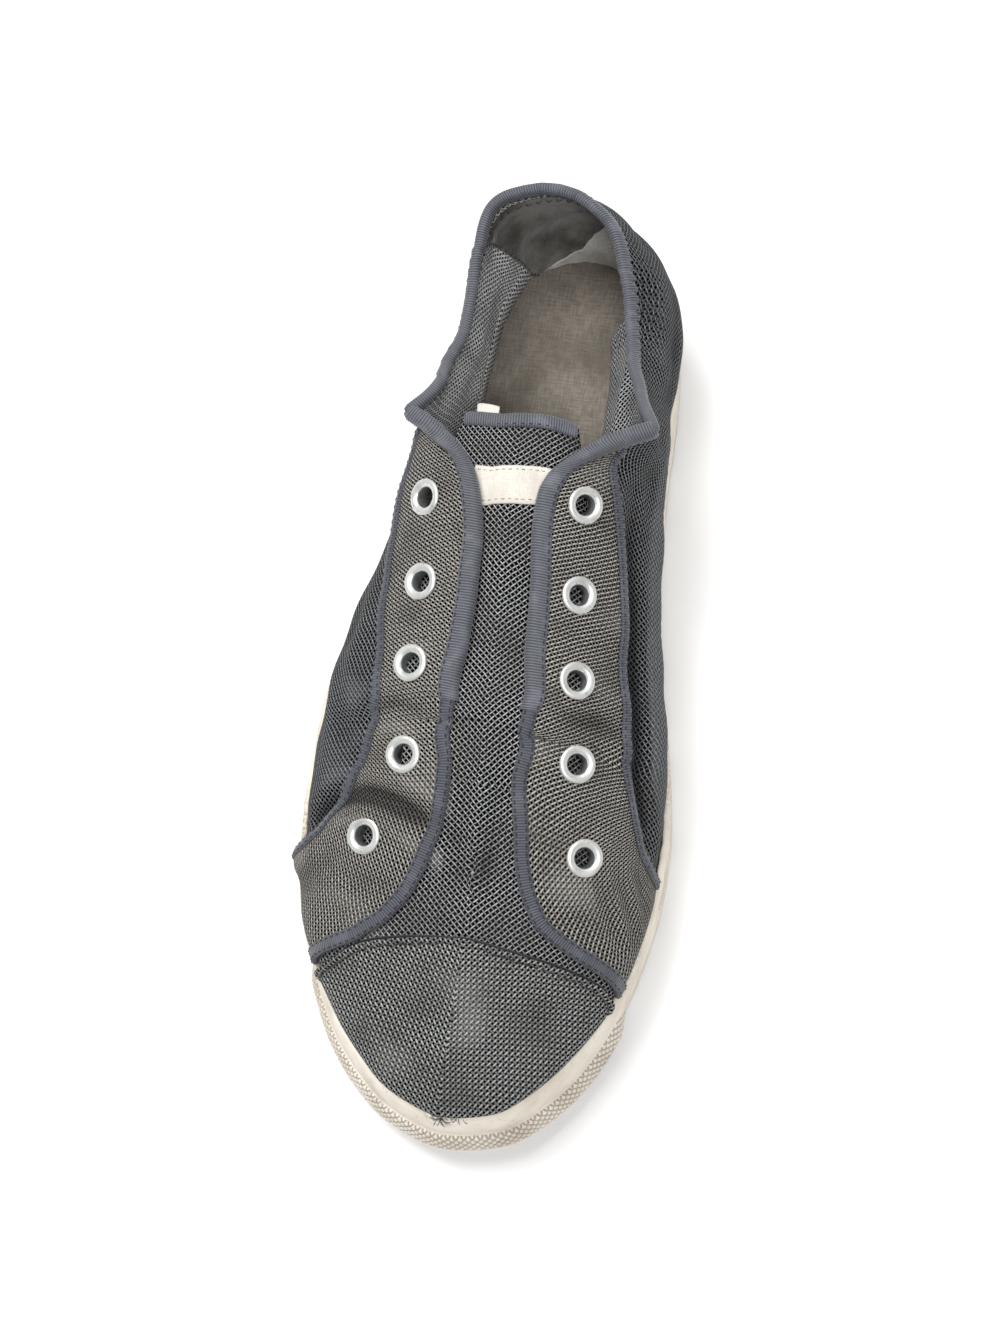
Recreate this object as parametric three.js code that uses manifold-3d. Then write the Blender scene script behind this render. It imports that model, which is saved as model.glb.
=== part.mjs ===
// Low canvas sneaker for the right foot, worn out and without laces, standing empty on its sole.
// Millimetres. X points to the inner side of the foot, Y from toe to heel, Z up.
// The origin is on the floor, under the middle of the sole.
import * as THREE from 'three';
import { mergeVertices } from 'three/addons/utils/BufferGeometryUtils.js';
import Module from 'manifold-3d';

const wasm = await Module();
wasm.setup();

// Driving dimensions of the last
const LENGTH = 290;
const BALL_WIDTH = 112;
const HEEL_WIDTH = 70;
const INSTEP_HEIGHT = 81;
const HEEL_HEIGHT = 76;

// Driving dimensions of the sole
const TOE_SPRING = 8;
const ARCH = 2;
const HEEL_BEVEL = 1.5;
const SOLE_BALL = 11.5;
const SOLE_HEEL = 17;
const SOLE_LEDGE = 6;
const SOLE_CHAMFER = 0.8;
const FOXING = 2.6;
const FOXING_LIFT = 0.5;
const FOXING_TOP_TOE = 30;
const FOXING_TOP_BALL = 25.5;
const FOXING_TOP_HEEL = 28.5;
const FOXING_STEP = 0.6;
const FOXING_STEP_HEIGHT = 12;
const FOXING_ROUND = 1.2;
const TOE_LEAN = 1.4;
const BUMPER = 2.2;
const BUMPER_HEIGHT = 11;
const BUMPER_END = 0.5;
const INSOLE = 3;
const TREAD_DEPTH = 1.5;
const TREAD_GROOVE = 2.4;
const TREAD_PITCH = 16;
const TREAD_BORDER = 7;
const TREAD_RIB = 14;
const TREAD_SLANT = 6;
const TREAD_ZONES = [[0.08, 0.44], [0.715, 0.95]];

// Driving dimensions of the cloth pieces
const CLEARANCE = 0.3;
const WALL = 1.8;
const OVERLAY = 0.9;
const OVERLAY_GAP = 0.56;
const SEAM_GAP = 0.75;
const TAPE = 1.3;
const TAPE_WIDTH = 5;
const BINDING = 0.8;
const BINDING_GAP = 0.75;
const BINDING_WIDTH = 4.5;
const TONGUE = 2;
const TONGUE_REACH = 22;
const LINING = 0.8;
const LABEL = 0.6;
const LABEL_HEIGHT = 11;
const TONGUE_CROWN = 1.5;

// Driving dimensions of the eyelets
const EYELET_OUTER = 10.9;
const EYELET_HOLE = 5.4;
const EYELET_TUBE = 0.6;
const EYELET_FLANGE = 1.2;
const EYELET_BACK = 0.7;
const EYELET_SEAT = 0.7;
const EYELET_BACK_OUTER = 8;

const INNER = 'medial';
const OUTER = 'lateral';
const mix = (from, to, share) => from + (to - from) * share;
const clamp = (value) => Math.min(1, Math.max(0, value));

function ramp(from, to, value) {
  const share = clamp((value - from) / (to - from));
  return share * share * (3 - 2 * share);
}

// Width and height that a share stands for, at a share of the length
const widthAt = (along) => mix(BALL_WIDTH, HEEL_WIDTH, ramp(0.4, 0.8, along));
const heightAt = (along) => mix(INSTEP_HEIGHT, HEEL_HEIGHT, ramp(0.7, 0.9, along));
const alongOf = (y) => y / LENGTH + 0.5;

function place(side, along, height) {
  return new THREE.Vector3(side * widthAt(along), (along - 0.5) * LENGTH, height * heightAt(along));
}

// A smooth curve through rows that start with their own parameter
function smoothRows(rows) {
  const last = rows.length - 1;
  const secant = (row, column) => (rows[row + 1][column] - rows[row][column])
    / (rows[row + 1][0] - rows[row][0]);
  function tangent(row, column) {
    if (row === 0) return secant(0, column);
    if (row === last) return secant(last - 1, column);
    const before = rows[row][0] - rows[row - 1][0];
    const after = rows[row + 1][0] - rows[row][0];
    return (secant(row - 1, column) * after + secant(row, column) * before) / (before + after);
  }
  return (parameter) => {
    const at = Math.min(rows[last][0], Math.max(rows[0][0], parameter));
    let row = 0;
    while (row < last - 1 && at > rows[row + 1][0]) row += 1;
    const span = rows[row + 1][0] - rows[row][0];
    const t = (at - rows[row][0]) / span;
    return rows[row].slice(1).map((start, index) => {
      const end = rows[row + 1][index + 1];
      const out = tangent(row, index + 1) * span;
      const into = tangent(row + 1, index + 1) * span;
      return start + t * (out + t * (3 * (end - start) - 2 * out - into
        + t * (2 * (start - end) + out + into)));
    });
  };
}

// Sole outline, one row per station: share of the length, then inner and outer share of the width
const OUTLINE = [
  [0.000, 0.040, 0.040],
  [0.012, 0.183, -0.085],
  [0.035, 0.268, -0.183],
  [0.080, 0.362, -0.295],
  [0.141, 0.430, -0.384],
  [0.210, 0.473, -0.451],
  [0.280, 0.496, -0.487],
  [0.350, 0.491, -0.500],
  [0.430, 0.454, -0.503],
  [0.500, 0.430, -0.502],
  [0.580, 0.431, -0.492],
  [0.660, 0.455, -0.482],
  [0.740, 0.486, -0.492],
  [0.820, 0.491, -0.500],
  [0.890, 0.454, -0.474],
  [0.940, 0.364, -0.400],
  [0.980, 0.221, -0.243],
  [1.000, 0.000, 0.000],
];
const BACK = OUTLINE.length - 1;
const THROAT_BASE = 7.4;
const CORNER = 11.6;
const CAP_END = 4.4;

const outlineLoop = new THREE.CatmullRomCurve3([
  ...OUTLINE.map(([along, inner]) => place(inner, along, 0)),
  ...OUTLINE.slice(1, -1).reverse().map(([along, , outer]) => place(outer, along, 0)),
], true, 'catmullrom', 0.5);

// Point of the outline at a station, moved inwards; stations count from the toe tip to the heel
function outlinePoint(side, station, inset) {
  const loopLength = 2 * BACK;
  const at = ((side === INNER ? station : loopLength - station) / loopLength + 1) % 1;
  const step = 1e-4;
  const point = outlineLoop.getPoint(at);
  const ahead = outlineLoop.getPoint((at + step) % 1);
  const behind = outlineLoop.getPoint((at - step + 1) % 1);
  const forward = ahead.sub(behind).normalize();
  return new THREE.Vector3(point.x - forward.y * inset, point.y + forward.x * inset, 0);
}

// Heights along the sole, by share of the length
function soleBottom(along) {
  const spring = TOE_SPRING * clamp(1 - along / 0.25) ** 2;
  const arch = ARCH * Math.sin(Math.PI * clamp((along - 0.45) / 0.25)) ** 2;
  const bevel = HEEL_BEVEL * clamp((along - 0.975) / 0.025) ** 2;
  return spring + arch + bevel;
}
const soleTop = (along) => TOE_SPRING * clamp(1 - along / 0.25) ** 2
  + mix(SOLE_BALL, SOLE_HEEL, ramp(0.42, 0.75, along));

function foxingTop(along) {
  const front = mix(FOXING_TOP_TOE, FOXING_TOP_BALL, ramp(0, 0.2, along));
  return mix(front, FOXING_TOP_HEEL, ramp(0.42, 0.8, along));
}

// How much of the toe bumper is left at a share of the length
const bumperShare = (along) => 1 - ramp(0.06, 0.19, along);
const foxingInset = (along) => (BUMPER + CLEARANCE) * bumperShare(along);

// How far the foxing leans inwards at a height above the floor
function leanAt(along, height) {
  const low = soleBottom(along) + FOXING_LIFT;
  const rise = clamp((height - low) / (foxingTop(along) - low));
  return TOE_LEAN * (1 - ramp(0.02, 0.22, along)) * rise;
}
const stationAlong = (side, station) => alongOf(outlinePoint(side, station, 0).y);

// Outside of the upper where it stands inside the foxing, by share of the foxing's height
function upperFoot(side, station, rise) {
  const along = stationAlong(side, station);
  const low = soleBottom(along) + SOLE_LEDGE + CLEARANCE;
  const height = mix(low, foxingTop(along) + CLEARANCE, rise);
  const inset = foxingInset(along) + leanAt(along, height) + FOXING + CLEARANCE;
  const point = outlinePoint(side, station, inset);
  point.z = height;
  return point;
}

// Top line of the upper: station, then side, length and height shares
const SPINE = [
  [4.4, 0.036, 0.184, 0.617],
  [5.2, 0.030, 0.228, 0.662],
  [6.0, 0.022, 0.283, 0.721],
  [6.8, 0.012, 0.338, 0.775],
  [7.4, 0.004, 0.384, 0.821],
];
const SPINE_SLOPE = 0.28;
const THROAT_EDGE = {
  medial: [
    [7.4, 0.004, 0.384, 0.821],
    [7.55, 0.058, 0.388, 0.822],
    [7.8, 0.086, 0.405, 0.830],
    [8.6, 0.079, 0.462, 0.870],
    [9.4, 0.070, 0.524, 0.914],
    [10.2, 0.051, 0.593, 0.963],
    [10.6, 0.064, 0.624, 0.988],
    [11.0, 0.132, 0.650, 1.000],
    [11.3, 0.264, 0.676, 0.998],
    [11.6, 0.437, 0.703, 0.963],
  ],
  lateral: [
    [7.4, 0.004, 0.384, 0.821],
    [7.55, -0.053, 0.388, 0.822],
    [7.8, -0.083, 0.403, 0.827],
    [8.6, -0.089, 0.462, 0.872],
    [9.4, -0.096, 0.521, 0.911],
    [10.2, -0.128, 0.583, 0.956],
    [10.6, -0.169, 0.615, 0.981],
    [11.0, -0.242, 0.641, 0.998],
    [11.3, -0.348, 0.660, 0.994],
    [11.6, -0.488, 0.684, 0.963],
  ],
};
const COLLAR_EDGE = {
  medial: [
    [11.6, 0.437, 0.703, 0.963],
    [12.0, 0.406, 0.724, 0.928],
    [12.5, 0.362, 0.759, 0.869],
    [13.0, 0.310, 0.798, 0.821],
    [13.6, 0.270, 0.841, 0.816],
    [14.3, 0.226, 0.883, 0.841],
    [15.1, 0.157, 0.921, 0.882],
    [16.1, 0.043, 0.952, 0.951],
    [17.0, -0.121, 0.966, 0.993],
  ],
  lateral: [
    [11.6, -0.488, 0.684, 0.963],
    [12.0, -0.440, 0.710, 0.928],
    [12.5, -0.406, 0.755, 0.866],
    [13.0, -0.380, 0.803, 0.824],
    [13.6, -0.391, 0.852, 0.841],
    [14.3, -0.419, 0.895, 0.882],
    [15.1, -0.400, 0.930, 0.929],
    [16.1, -0.290, 0.955, 0.974],
    [17.0, -0.121, 0.966, 0.993],
  ],
};

// Shape of the wall: station, rise of the lower handle, swell, reach and drop of the upper handle
const WALL_SHAPE = {
  medial: [
    [0.0, 0.50, 0.008, 0.50, 0.00],
    [4.4, 0.50, 0.008, 0.52, 0.00],
    [6.0, 0.50, 0.010, 0.55, 0.02],
    [7.4, 0.48, 0.012, 0.55, 0.05],
    [8.6, 0.45, 0.020, 0.58, 0.10],
    [10.2, 0.42, 0.032, 0.70, 0.08],
    [11.0, 0.42, 0.034, 0.75, 0.12],
    [11.6, 0.40, 0.032, 0.60, 0.35],
    [12.5, 0.40, 0.050, 0.80, 0.35],
    [13.6, 0.40, 0.068, 0.90, 0.35],
    [15.1, 0.40, 0.045, 0.85, 0.35],
    [17.0, 0.40, 0.035, 0.80, 0.40],
  ],
  lateral: [
    [0.0, 0.50, 0.008, 0.50, 0.00],
    [4.4, 0.50, 0.008, 0.52, 0.00],
    [6.0, 0.50, 0.010, 0.55, 0.02],
    [7.4, 0.48, 0.012, 0.55, 0.05],
    [8.6, 0.45, 0.016, 0.60, 0.10],
    [9.4, 0.43, 0.014, 0.72, 0.09],
    [10.2, 0.42, 0.010, 0.98, 0.10],
    [10.6, 0.42, 0.008, 1.20, 0.12],
    [11.0, 0.42, 0.006, 1.35, 0.16],
    [11.3, 0.42, 0.004, 1.45, 0.25],
    [11.6, 0.40, 0.004, 0.60, 0.35],
    [12.5, 0.40, 0.025, 0.80, 0.35],
    [13.6, 0.40, 0.042, 0.90, 0.35],
    [15.1, 0.40, 0.042, 0.90, 0.35],
    [17.0, 0.40, 0.035, 0.80, 0.40],
  ],
};

const spine = smoothRows(SPINE);
const throatEdge = { medial: smoothRows(THROAT_EDGE.medial), lateral: smoothRows(THROAT_EDGE.lateral) };
const collarEdge = { medial: smoothRows(COLLAR_EDGE.medial), lateral: smoothRows(COLLAR_EDGE.lateral) };
const wallShape = { medial: smoothRows(WALL_SHAPE.medial), lateral: smoothRows(WALL_SHAPE.lateral) };

function topPoint(side, station) {
  if (station <= THROAT_BASE) return place(...spine(station));
  if (station <= CORNER) return place(...throatEdge[side](station));
  return place(...collarEdge[side](station));
}

// Outer surface of the upper. Height -1 to 0 is the part inside the foxing, 0 to 1 the part above it
function upperPoint(side, station, height) {
  if (height <= 0) return upperFoot(side, station, height + 1);
  const foot = upperFoot(side, station, 1);
  const top = topPoint(side, station);
  const [rise, swell, reach, drop] = wallShape[side](station);
  const climb = top.z - foot.z;
  const width = widthAt(alongOf(foot.y));
  const lower = outlinePoint(side, station, 0).sub(outlinePoint(side, station, 1));
  lower.multiplyScalar(swell * width * 2).add(foot);
  lower.z = foot.z + rise * climb;
  const upper = top.clone().lerp(foot, reach);
  upper.z = top.z - drop * climb;
  if (station < THROAT_BASE) upper.z += SPINE_SLOPE * (upper.y - top.y);
  const rest = 1 - height;
  return foot.multiplyScalar(rest ** 3)
    .addScaledVector(lower, 3 * rest ** 2 * height)
    .addScaledVector(upper, 3 * rest * height ** 2)
    .addScaledVector(top, height ** 3);
}

// Unit vectors of the outer surface: outwards and up the wall. Over the cap every station runs to
// one point at the top, where the vectors are read a little lower
const PINCH = 0.1;
const PINCH_HEIGHT = 0.96;

function upperFrame(side, station, height) {
  const step = 1e-3;
  const level = station < CAP_END + PINCH ? Math.min(height, PINCH_HEIGHT) : height;
  const early = Math.max(0, station - step);
  const late = Math.min(BACK, station + step);
  const around = upperPoint(side, late, level).sub(upperPoint(side, early, level));
  const above = Math.min(1, level + step);
  const up = upperPoint(side, station, above).sub(upperPoint(side, station, above - 2 * step));
  const speed = up.length() / (2 * step);
  up.normalize();
  const outwards = around.cross(up).normalize();
  if (side === OUTER) outwards.negate();
  return { outwards, up, speed };
}

function onUpper(side, station, height, offset) {
  return upperPoint(side, station, height)
    .addScaledVector(upperFrame(side, station, height).outwards, offset);
}

// Stations at which every piece that follows the last is cut, from the toe to the heel
const STATIONS = [
  0, 0.45, 0.9, 1.4, 2, 2.6, 3.2, 3.8, 4.4, 4.9, 5.5, 6.1, 6.8, 7.4,
  7.55, 7.8, 8.4, 9, 9.6, 10.1, 10.5, 10.8, 11, 11.15, 11.3, 11.45, 11.6,
  11.75, 12.1, 12.5, 13, 13.6, 14.2, 14.8, 15.3, 15.8, 16.2, 16.6, 17,
];
const WALL_LEVELS = [-1, 0, 0.14, 0.3, 0.47, 0.64, 0.8, 0.91, 1];
const STEEL = { roughness: 0.32, metalness: 1 };
const CLOTH = { roughness: 0.9, metalness: 0 };
const RUBBER = { roughness: 0.6, metalness: 0 };

const group = new THREE.Group();

// Closed geometry of a list of triangles, with its faces turned outwards
function closedGeometry(triangles) {
  const volume = triangles.reduce((sum, [a, b, c]) => sum + a.dot(b.clone().cross(c)), 0);
  const turned = volume < 0 ? triangles.map(([a, b, c]) => [a, c, b]) : triangles;
  const geometry = new THREE.BufferGeometry();
  const positions = turned.flat().flatMap((point) => point.toArray());
  geometry.setAttribute('position', new THREE.Float32BufferAttribute(positions, 3));
  return mergeVertices(geometry, 1e-4);
}

function toSolid(source) {
  const geometry = source.clone();
  geometry.deleteAttribute('normal');
  geometry.deleteAttribute('uv');
  const merged = mergeVertices(geometry, 1e-4);
  return new wasm.Manifold(new wasm.Mesh({
    numProp: 3,
    vertProperties: new Float32Array(merged.attributes.position.array),
    triVerts: new Uint32Array(merged.index.array),
  }));
}

function toGeometry(solid) {
  const mesh = solid.getMesh();
  const geometry = new THREE.BufferGeometry();
  geometry.setAttribute('position', new THREE.BufferAttribute(mesh.vertProperties, 3));
  geometry.setIndex(new THREE.BufferAttribute(mesh.triVerts, 1));
  return geometry;
}

function addPiece(name, geometry, color, finish) {
  geometry.computeVertexNormals();
  const mesh = new THREE.Mesh(geometry, new THREE.MeshStandardMaterial({ color, ...finish }));
  mesh.name = name;
  group.add(mesh);
}

const quad = (a, b, c, d) => [[a, b, c], [a, c, d]];

// Solid between two grids of points of the same size, joined round their borders
function sheetSolid(topGrid, bottomGrid) {
  const rows = topGrid.length;
  const columns = topGrid[0].length;
  const triangles = [];
  for (let row = 0; row < rows - 1; row += 1) {
    for (let column = 0; column < columns - 1; column += 1) {
      const corners = [[row, column], [row + 1, column], [row + 1, column + 1], [row, column + 1]];
      triangles.push(...quad(...corners.map(([r, c]) => topGrid[r][c])));
      triangles.push(...quad(...corners.reverse().map(([r, c]) => bottomGrid[r][c])));
    }
  }
  const border = [];
  for (let column = 0; column < columns - 1; column += 1) border.push([0, column]);
  for (let row = 0; row < rows - 1; row += 1) border.push([row, columns - 1]);
  for (let column = columns - 1; column > 0; column -= 1) border.push([rows - 1, column]);
  for (let row = rows - 1; row > 0; row -= 1) border.push([row, 0]);
  border.forEach(([row, column], index) => {
    const [nextRow, nextColumn] = border[(index + 1) % border.length];
    triangles.push(...quad(
      topGrid[row][column],
      topGrid[nextRow][nextColumn],
      bottomGrid[nextRow][nextColumn],
      bottomGrid[row][column],
    ));
  });
  return closedGeometry(withoutSlivers(triangles));
}

// Triangles that have shrunk to a line, where a grid runs to a point, are dropped
function withoutSlivers(triangles) {
  const same = (a, b) => a.distanceToSquared(b) < 1e-9;
  return triangles.filter(([a, b, c]) => !same(a, b) && !same(b, c) && !same(c, a));
}

// Solid through rings of points. An open sweep is capped by pairing the ring's first and last points
function sweepSolid(rings, closed) {
  const count = rings[0].length;
  const triangles = [];
  const steps = closed ? rings.length : rings.length - 1;
  for (let step = 0; step < steps; step += 1) {
    const ring = rings[step];
    const next = rings[(step + 1) % rings.length];
    for (let index = 0; index < count; index += 1) {
      const following = (index + 1) % count;
      triangles.push(...quad(ring[index], next[index], next[following], ring[following]));
    }
  }
  if (!closed) {
    const cap = (ring) => {
      const faces = [];
      for (let index = 0; index < count / 2 - 1; index += 1) {
        const across = count - 1 - index;
        faces.push(...quad(ring[index], ring[index + 1], ring[across - 1], ring[across]));
      }
      return faces;
    };
    triangles.push(...cap(rings[0]));
    triangles.push(...cap(rings[rings.length - 1]).map(([a, b, c]) => [a, c, b]));
  }
  return closedGeometry(triangles);
}

// The stations once round the sole: toe, inner side, heel, outer side
const ROUND = [
  ...STATIONS.map((station) => [INNER, station]),
  ...STATIONS.slice(1, -1).reverse().map((station) => [OUTER, station]),
];

// Solid stack of outlines; each level gives the inset and the height at a share of the length
function stackSolid(levels) {
  const loops = levels.map(({ inset, height }) => ROUND.map(([side, station]) => {
    const along = stationAlong(side, station);
    const level = height(along);
    const point = outlinePoint(side, station, inset(along, level));
    point.z = level;
    return point;
  }));
  const count = ROUND.length;
  const triangles = [];
  for (let level = 0; level < loops.length - 1; level += 1) {
    for (let index = 0; index < count; index += 1) {
      const following = (index + 1) % count;
      const [low, high] = [loops[level], loops[level + 1]];
      triangles.push(...quad(low[index], low[following], high[following], high[index]));
    }
  }
  const cap = (loop) => {
    const faces = [[loop[0], loop[count - 1], loop[1]]];
    for (let index = 1; index < count / 2 - 1; index += 1) {
      const across = count - index;
      faces.push(...quad(loop[index], loop[across], loop[across - 1], loop[index + 1]));
    }
    faces.push([loop[count / 2 - 1], loop[count / 2 + 1], loop[count / 2]]);
    return faces;
  };
  triangles.push(...cap(loops[0]));
  triangles.push(...cap(loops[loops.length - 1]).map(([a, b, c]) => [a, c, b]));
  return closedGeometry(triangles);
}

// Outsole: a plate inside the foxing, with a ledge that carries the upper, and a cut tread
const plateInset = (along, height) => foxingInset(along) + FOXING + CLEARANCE + leanAt(along, height);
const bedInset = (along, height) => plateInset(along, height) + WALL + CLEARANCE;

function stationAt(side, along) {
  let [low, high] = [0, BACK];
  for (let turn = 0; turn < 30; turn += 1) {
    const middle = (low + high) / 2;
    if (stationAlong(side, middle) < along) low = middle;
    else high = middle;
  }
  return low;
}

// One slanted groove from the middle rib to the border, cut up into the tread
function grooveSolid(side, along) {
  const edge = outlinePoint(side, stationAt(side, along), plateInset(along, 0) + TREAD_BORDER);
  const facing = Math.sign(edge.x);
  const start = facing * TREAD_RIB / 2;
  const y = (along - 0.5) * LENGTH;
  const shape = new THREE.Shape([
    new THREE.Vector2(start, y - TREAD_SLANT / 2),
    new THREE.Vector2(edge.x, y + TREAD_SLANT / 2),
    new THREE.Vector2(edge.x, y + TREAD_SLANT / 2 + TREAD_GROOVE),
    new THREE.Vector2(start, y - TREAD_SLANT / 2 + TREAD_GROOVE),
  ]);
  const below = TREAD_DEPTH + TOE_SPRING;
  const groove = new THREE.ExtrudeGeometry(shape, { depth: TREAD_DEPTH + below, bevelEnabled: false });
  groove.translate(0, 0, soleBottom(along) - below);
  return toSolid(groove);
}

function outsoleGeometry() {
  let outsole = toSolid(stackSolid([
    { inset: (along, height) => plateInset(along, height) + SOLE_CHAMFER, height: soleBottom },
    { inset: plateInset, height: (along) => soleBottom(along) + SOLE_CHAMFER },
    { inset: plateInset, height: (along) => soleBottom(along) + SOLE_LEDGE },
    { inset: bedInset, height: (along) => soleBottom(along) + SOLE_LEDGE },
    { inset: bedInset, height: soleTop },
  ]));
  TREAD_ZONES.forEach(([from, to]) => {
    for (let along = from; along <= to; along += TREAD_PITCH / LENGTH) {
      outsole = outsole.subtract(grooveSolid(INNER, along));
      outsole = outsole.subtract(grooveSolid(OUTER, along));
    }
  });
  return toGeometry(outsole);
}

// Foxing: the rubber band round the sole, with a ledge line and a rounded top edge
function foxingRing(side, station) {
  const along = stationAlong(side, station);
  const low = soleBottom(along) + FOXING_LIFT;
  const top = foxingTop(along);
  const corner = (inset, z) => {
    const point = outlinePoint(side, station, foxingInset(along) + leanAt(along, z) + inset);
    point.z = z;
    return point;
  };
  return [
    corner(FOXING, low),
    corner(0, low),
    corner(0, low + FOXING_STEP_HEIGHT),
    corner(FOXING_STEP, low + FOXING_STEP_HEIGHT + FOXING_STEP),
    corner(FOXING_STEP, top - FOXING_ROUND),
    corner(FOXING_STEP + FOXING_ROUND, top),
    corner(FOXING, top),
  ];
}

// Toe bumper: a second strip of rubber round the front of the foxing, thinning to its ends
function bumperGeometry() {
  const inRange = ([side, station]) => {
    const along = stationAlong(side, station);
    return (BUMPER + CLEARANCE) * bumperShare(along) - CLEARANCE > BUMPER_END;
  };
  const front = STATIONS.filter((station) => station < CAP_END);
  const rings = [
    ...front.slice(1).reverse().map((station) => [OUTER, station]),
    ...front.map((station) => [INNER, station]),
  ].filter(inRange).map(([side, station]) => {
    const along = stationAlong(side, station);
    const low = soleBottom(along) + FOXING_LIFT;
    const corner = (inset, z) => {
      const point = outlinePoint(side, station, inset + leanAt(along, z));
      point.z = z;
      return point;
    };
    return [
      corner(0, low),
      corner(0, low + BUMPER_HEIGHT),
      corner(foxingInset(along) - CLEARANCE, low + BUMPER_HEIGHT),
      corner(foxingInset(along) - CLEARANCE, low),
    ];
  });
  return sweepSolid(rings, false);
}

function insoleGeometry() {
  return stackSolid([
    { inset: bedInset, height: (along) => soleTop(along) + CLEARANCE },
    { inset: bedInset, height: (along) => soleTop(along) + CLEARANCE + INSOLE },
  ]);
}

// Upper: one wall round the foot, open at the throat, the collar and underneath
function upperGeometry() {
  const outside = [];
  const corner = (side, station, height) => {
    const point = upperPoint(side, station, height);
    point.outwards = upperFrame(side, station, height).outwards;
    return point;
  };
  [INNER, OUTER].forEach((side) => {
    for (let index = 0; index < STATIONS.length - 1; index += 1) {
      const [here, next] = [STATIONS[index], STATIONS[index + 1]];
      for (let level = 0; level < WALL_LEVELS.length - 1; level += 1) {
        const [low, high] = [WALL_LEVELS[level], WALL_LEVELS[level + 1]];
        const faces = quad(
          corner(side, here, low),
          corner(side, next, low),
          corner(side, next, high),
          corner(side, here, high),
        );
        outside.push(...(side === INNER ? faces : faces.map(([a, b, c]) => [a, c, b])));
      }
    }
  });
  return shellGeometry(withoutSlivers(outside));
}

// Gives a surface its thickness on the inner side and closes its open edges
function shellGeometry(triangles) {
  const corners = new Map();
  const nameOf = (point) => point.toArray().map((value) => Math.round(value * 1000)).join(' ');
  triangles.flat().forEach((point) => {
    const name = nameOf(point);
    if (!corners.has(name)) corners.set(name, { outer: point, outwards: new THREE.Vector3() });
    corners.get(name).outwards.add(point.outwards);
  });
  corners.forEach((corner) => {
    corner.inner = corner.outer.clone().addScaledVector(corner.outwards.normalize(), -WALL);
  });
  const edges = new Map();
  const faces = [];
  triangles.forEach((triangle) => {
    const names = triangle.map(nameOf);
    const [a, b, c] = names.map((name) => corners.get(name));
    faces.push([a.outer, b.outer, c.outer], [a.inner, c.inner, b.inner]);
    names.forEach((from, index) => {
      const to = names[(index + 1) % 3];
      edges.set(`${from} ${to}`, [from, to]);
    });
  });
  edges.forEach(([from, to]) => {
    if (edges.has(`${to} ${from}`)) return;
    const [a, b] = [corners.get(from), corners.get(to)];
    faces.push(...quad(b.outer, a.outer, a.inner, b.inner));
  });
  return closedGeometry(faces);
}

// Toe cap seam: share of the way up, station
const CAP_SEAM = {
  medial: smoothRows([[0, 4.14], [0.25, 4.30], [0.55, 4.38], [0.8, 4.38], [1, 4.38]]),
  lateral: smoothRows([[0, 3.84], [0.35, 3.97], [0.57, 4.18], [0.8, 4.30], [1, 4.38]]),
};
const CAP_LEVELS = [0.015, 0.14, 0.3, 0.47, 0.64, 0.82, 0.97];
const CAP_STEPS = 9;

function capGeometry() {
  const row = (side, step, offset) => CAP_LEVELS.map((height) => {
    const station = CAP_SEAM[side](height)[0] * (step / CAP_STEPS);
    return onUpper(side, station, height, offset);
  });
  const grid = (offset) => {
    const rows = [];
    for (let step = CAP_STEPS; step > 0; step -= 1) rows.push(row(OUTER, step, offset));
    for (let step = 0; step <= CAP_STEPS; step += 1) rows.push(row(INNER, step, offset));
    return rows;
  };
  return sheetSolid(grid(OVERLAY_GAP + OVERLAY), grid(OVERLAY_GAP));
}

// Share of the way up the wall that lies a distance below the top edge
function heightBelowEdge(side, station, distance) {
  return 1 - distance / upperFrame(side, station, 1).speed;
}

// Lines on the upper: place along the line, station, height. Place 0 is at the top corner,
// 1 at the base of the throat and 2 at the foxing
const THROAT_TOP = 11.45;
const THROAT_LOW = 7.8;
const EYESTAY_FRONT = {
  medial: [
    [1.04, 7.60, 0.945],
    [1.08, 7.50, 0.912],
    [1.13, 7.40, 0.870],
    [1.30, 6.80, 0.872],
    [1.45, 6.20, 0.850],
    [1.58, 5.70, 0.825],
    [1.70, 5.25, 0.770],
    [1.80, 4.90, 0.680],
    [1.88, 4.70, 0.520],
    [1.95, 4.55, 0.260],
    [2.00, 4.42, 0.020],
  ],
  lateral: [
    [1.04, 7.60, 0.944],
    [1.08, 7.50, 0.911],
    [1.13, 7.40, 0.872],
    [1.30, 6.85, 0.880],
    [1.45, 6.30, 0.875],
    [1.55, 5.90, 0.855],
    [1.67, 5.40, 0.810],
    [1.79, 4.90, 0.730],
    [1.88, 4.55, 0.620],
    [1.95, 4.26, 0.400],
    [2.00, 4.10, 0.020],
  ],
};
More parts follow.
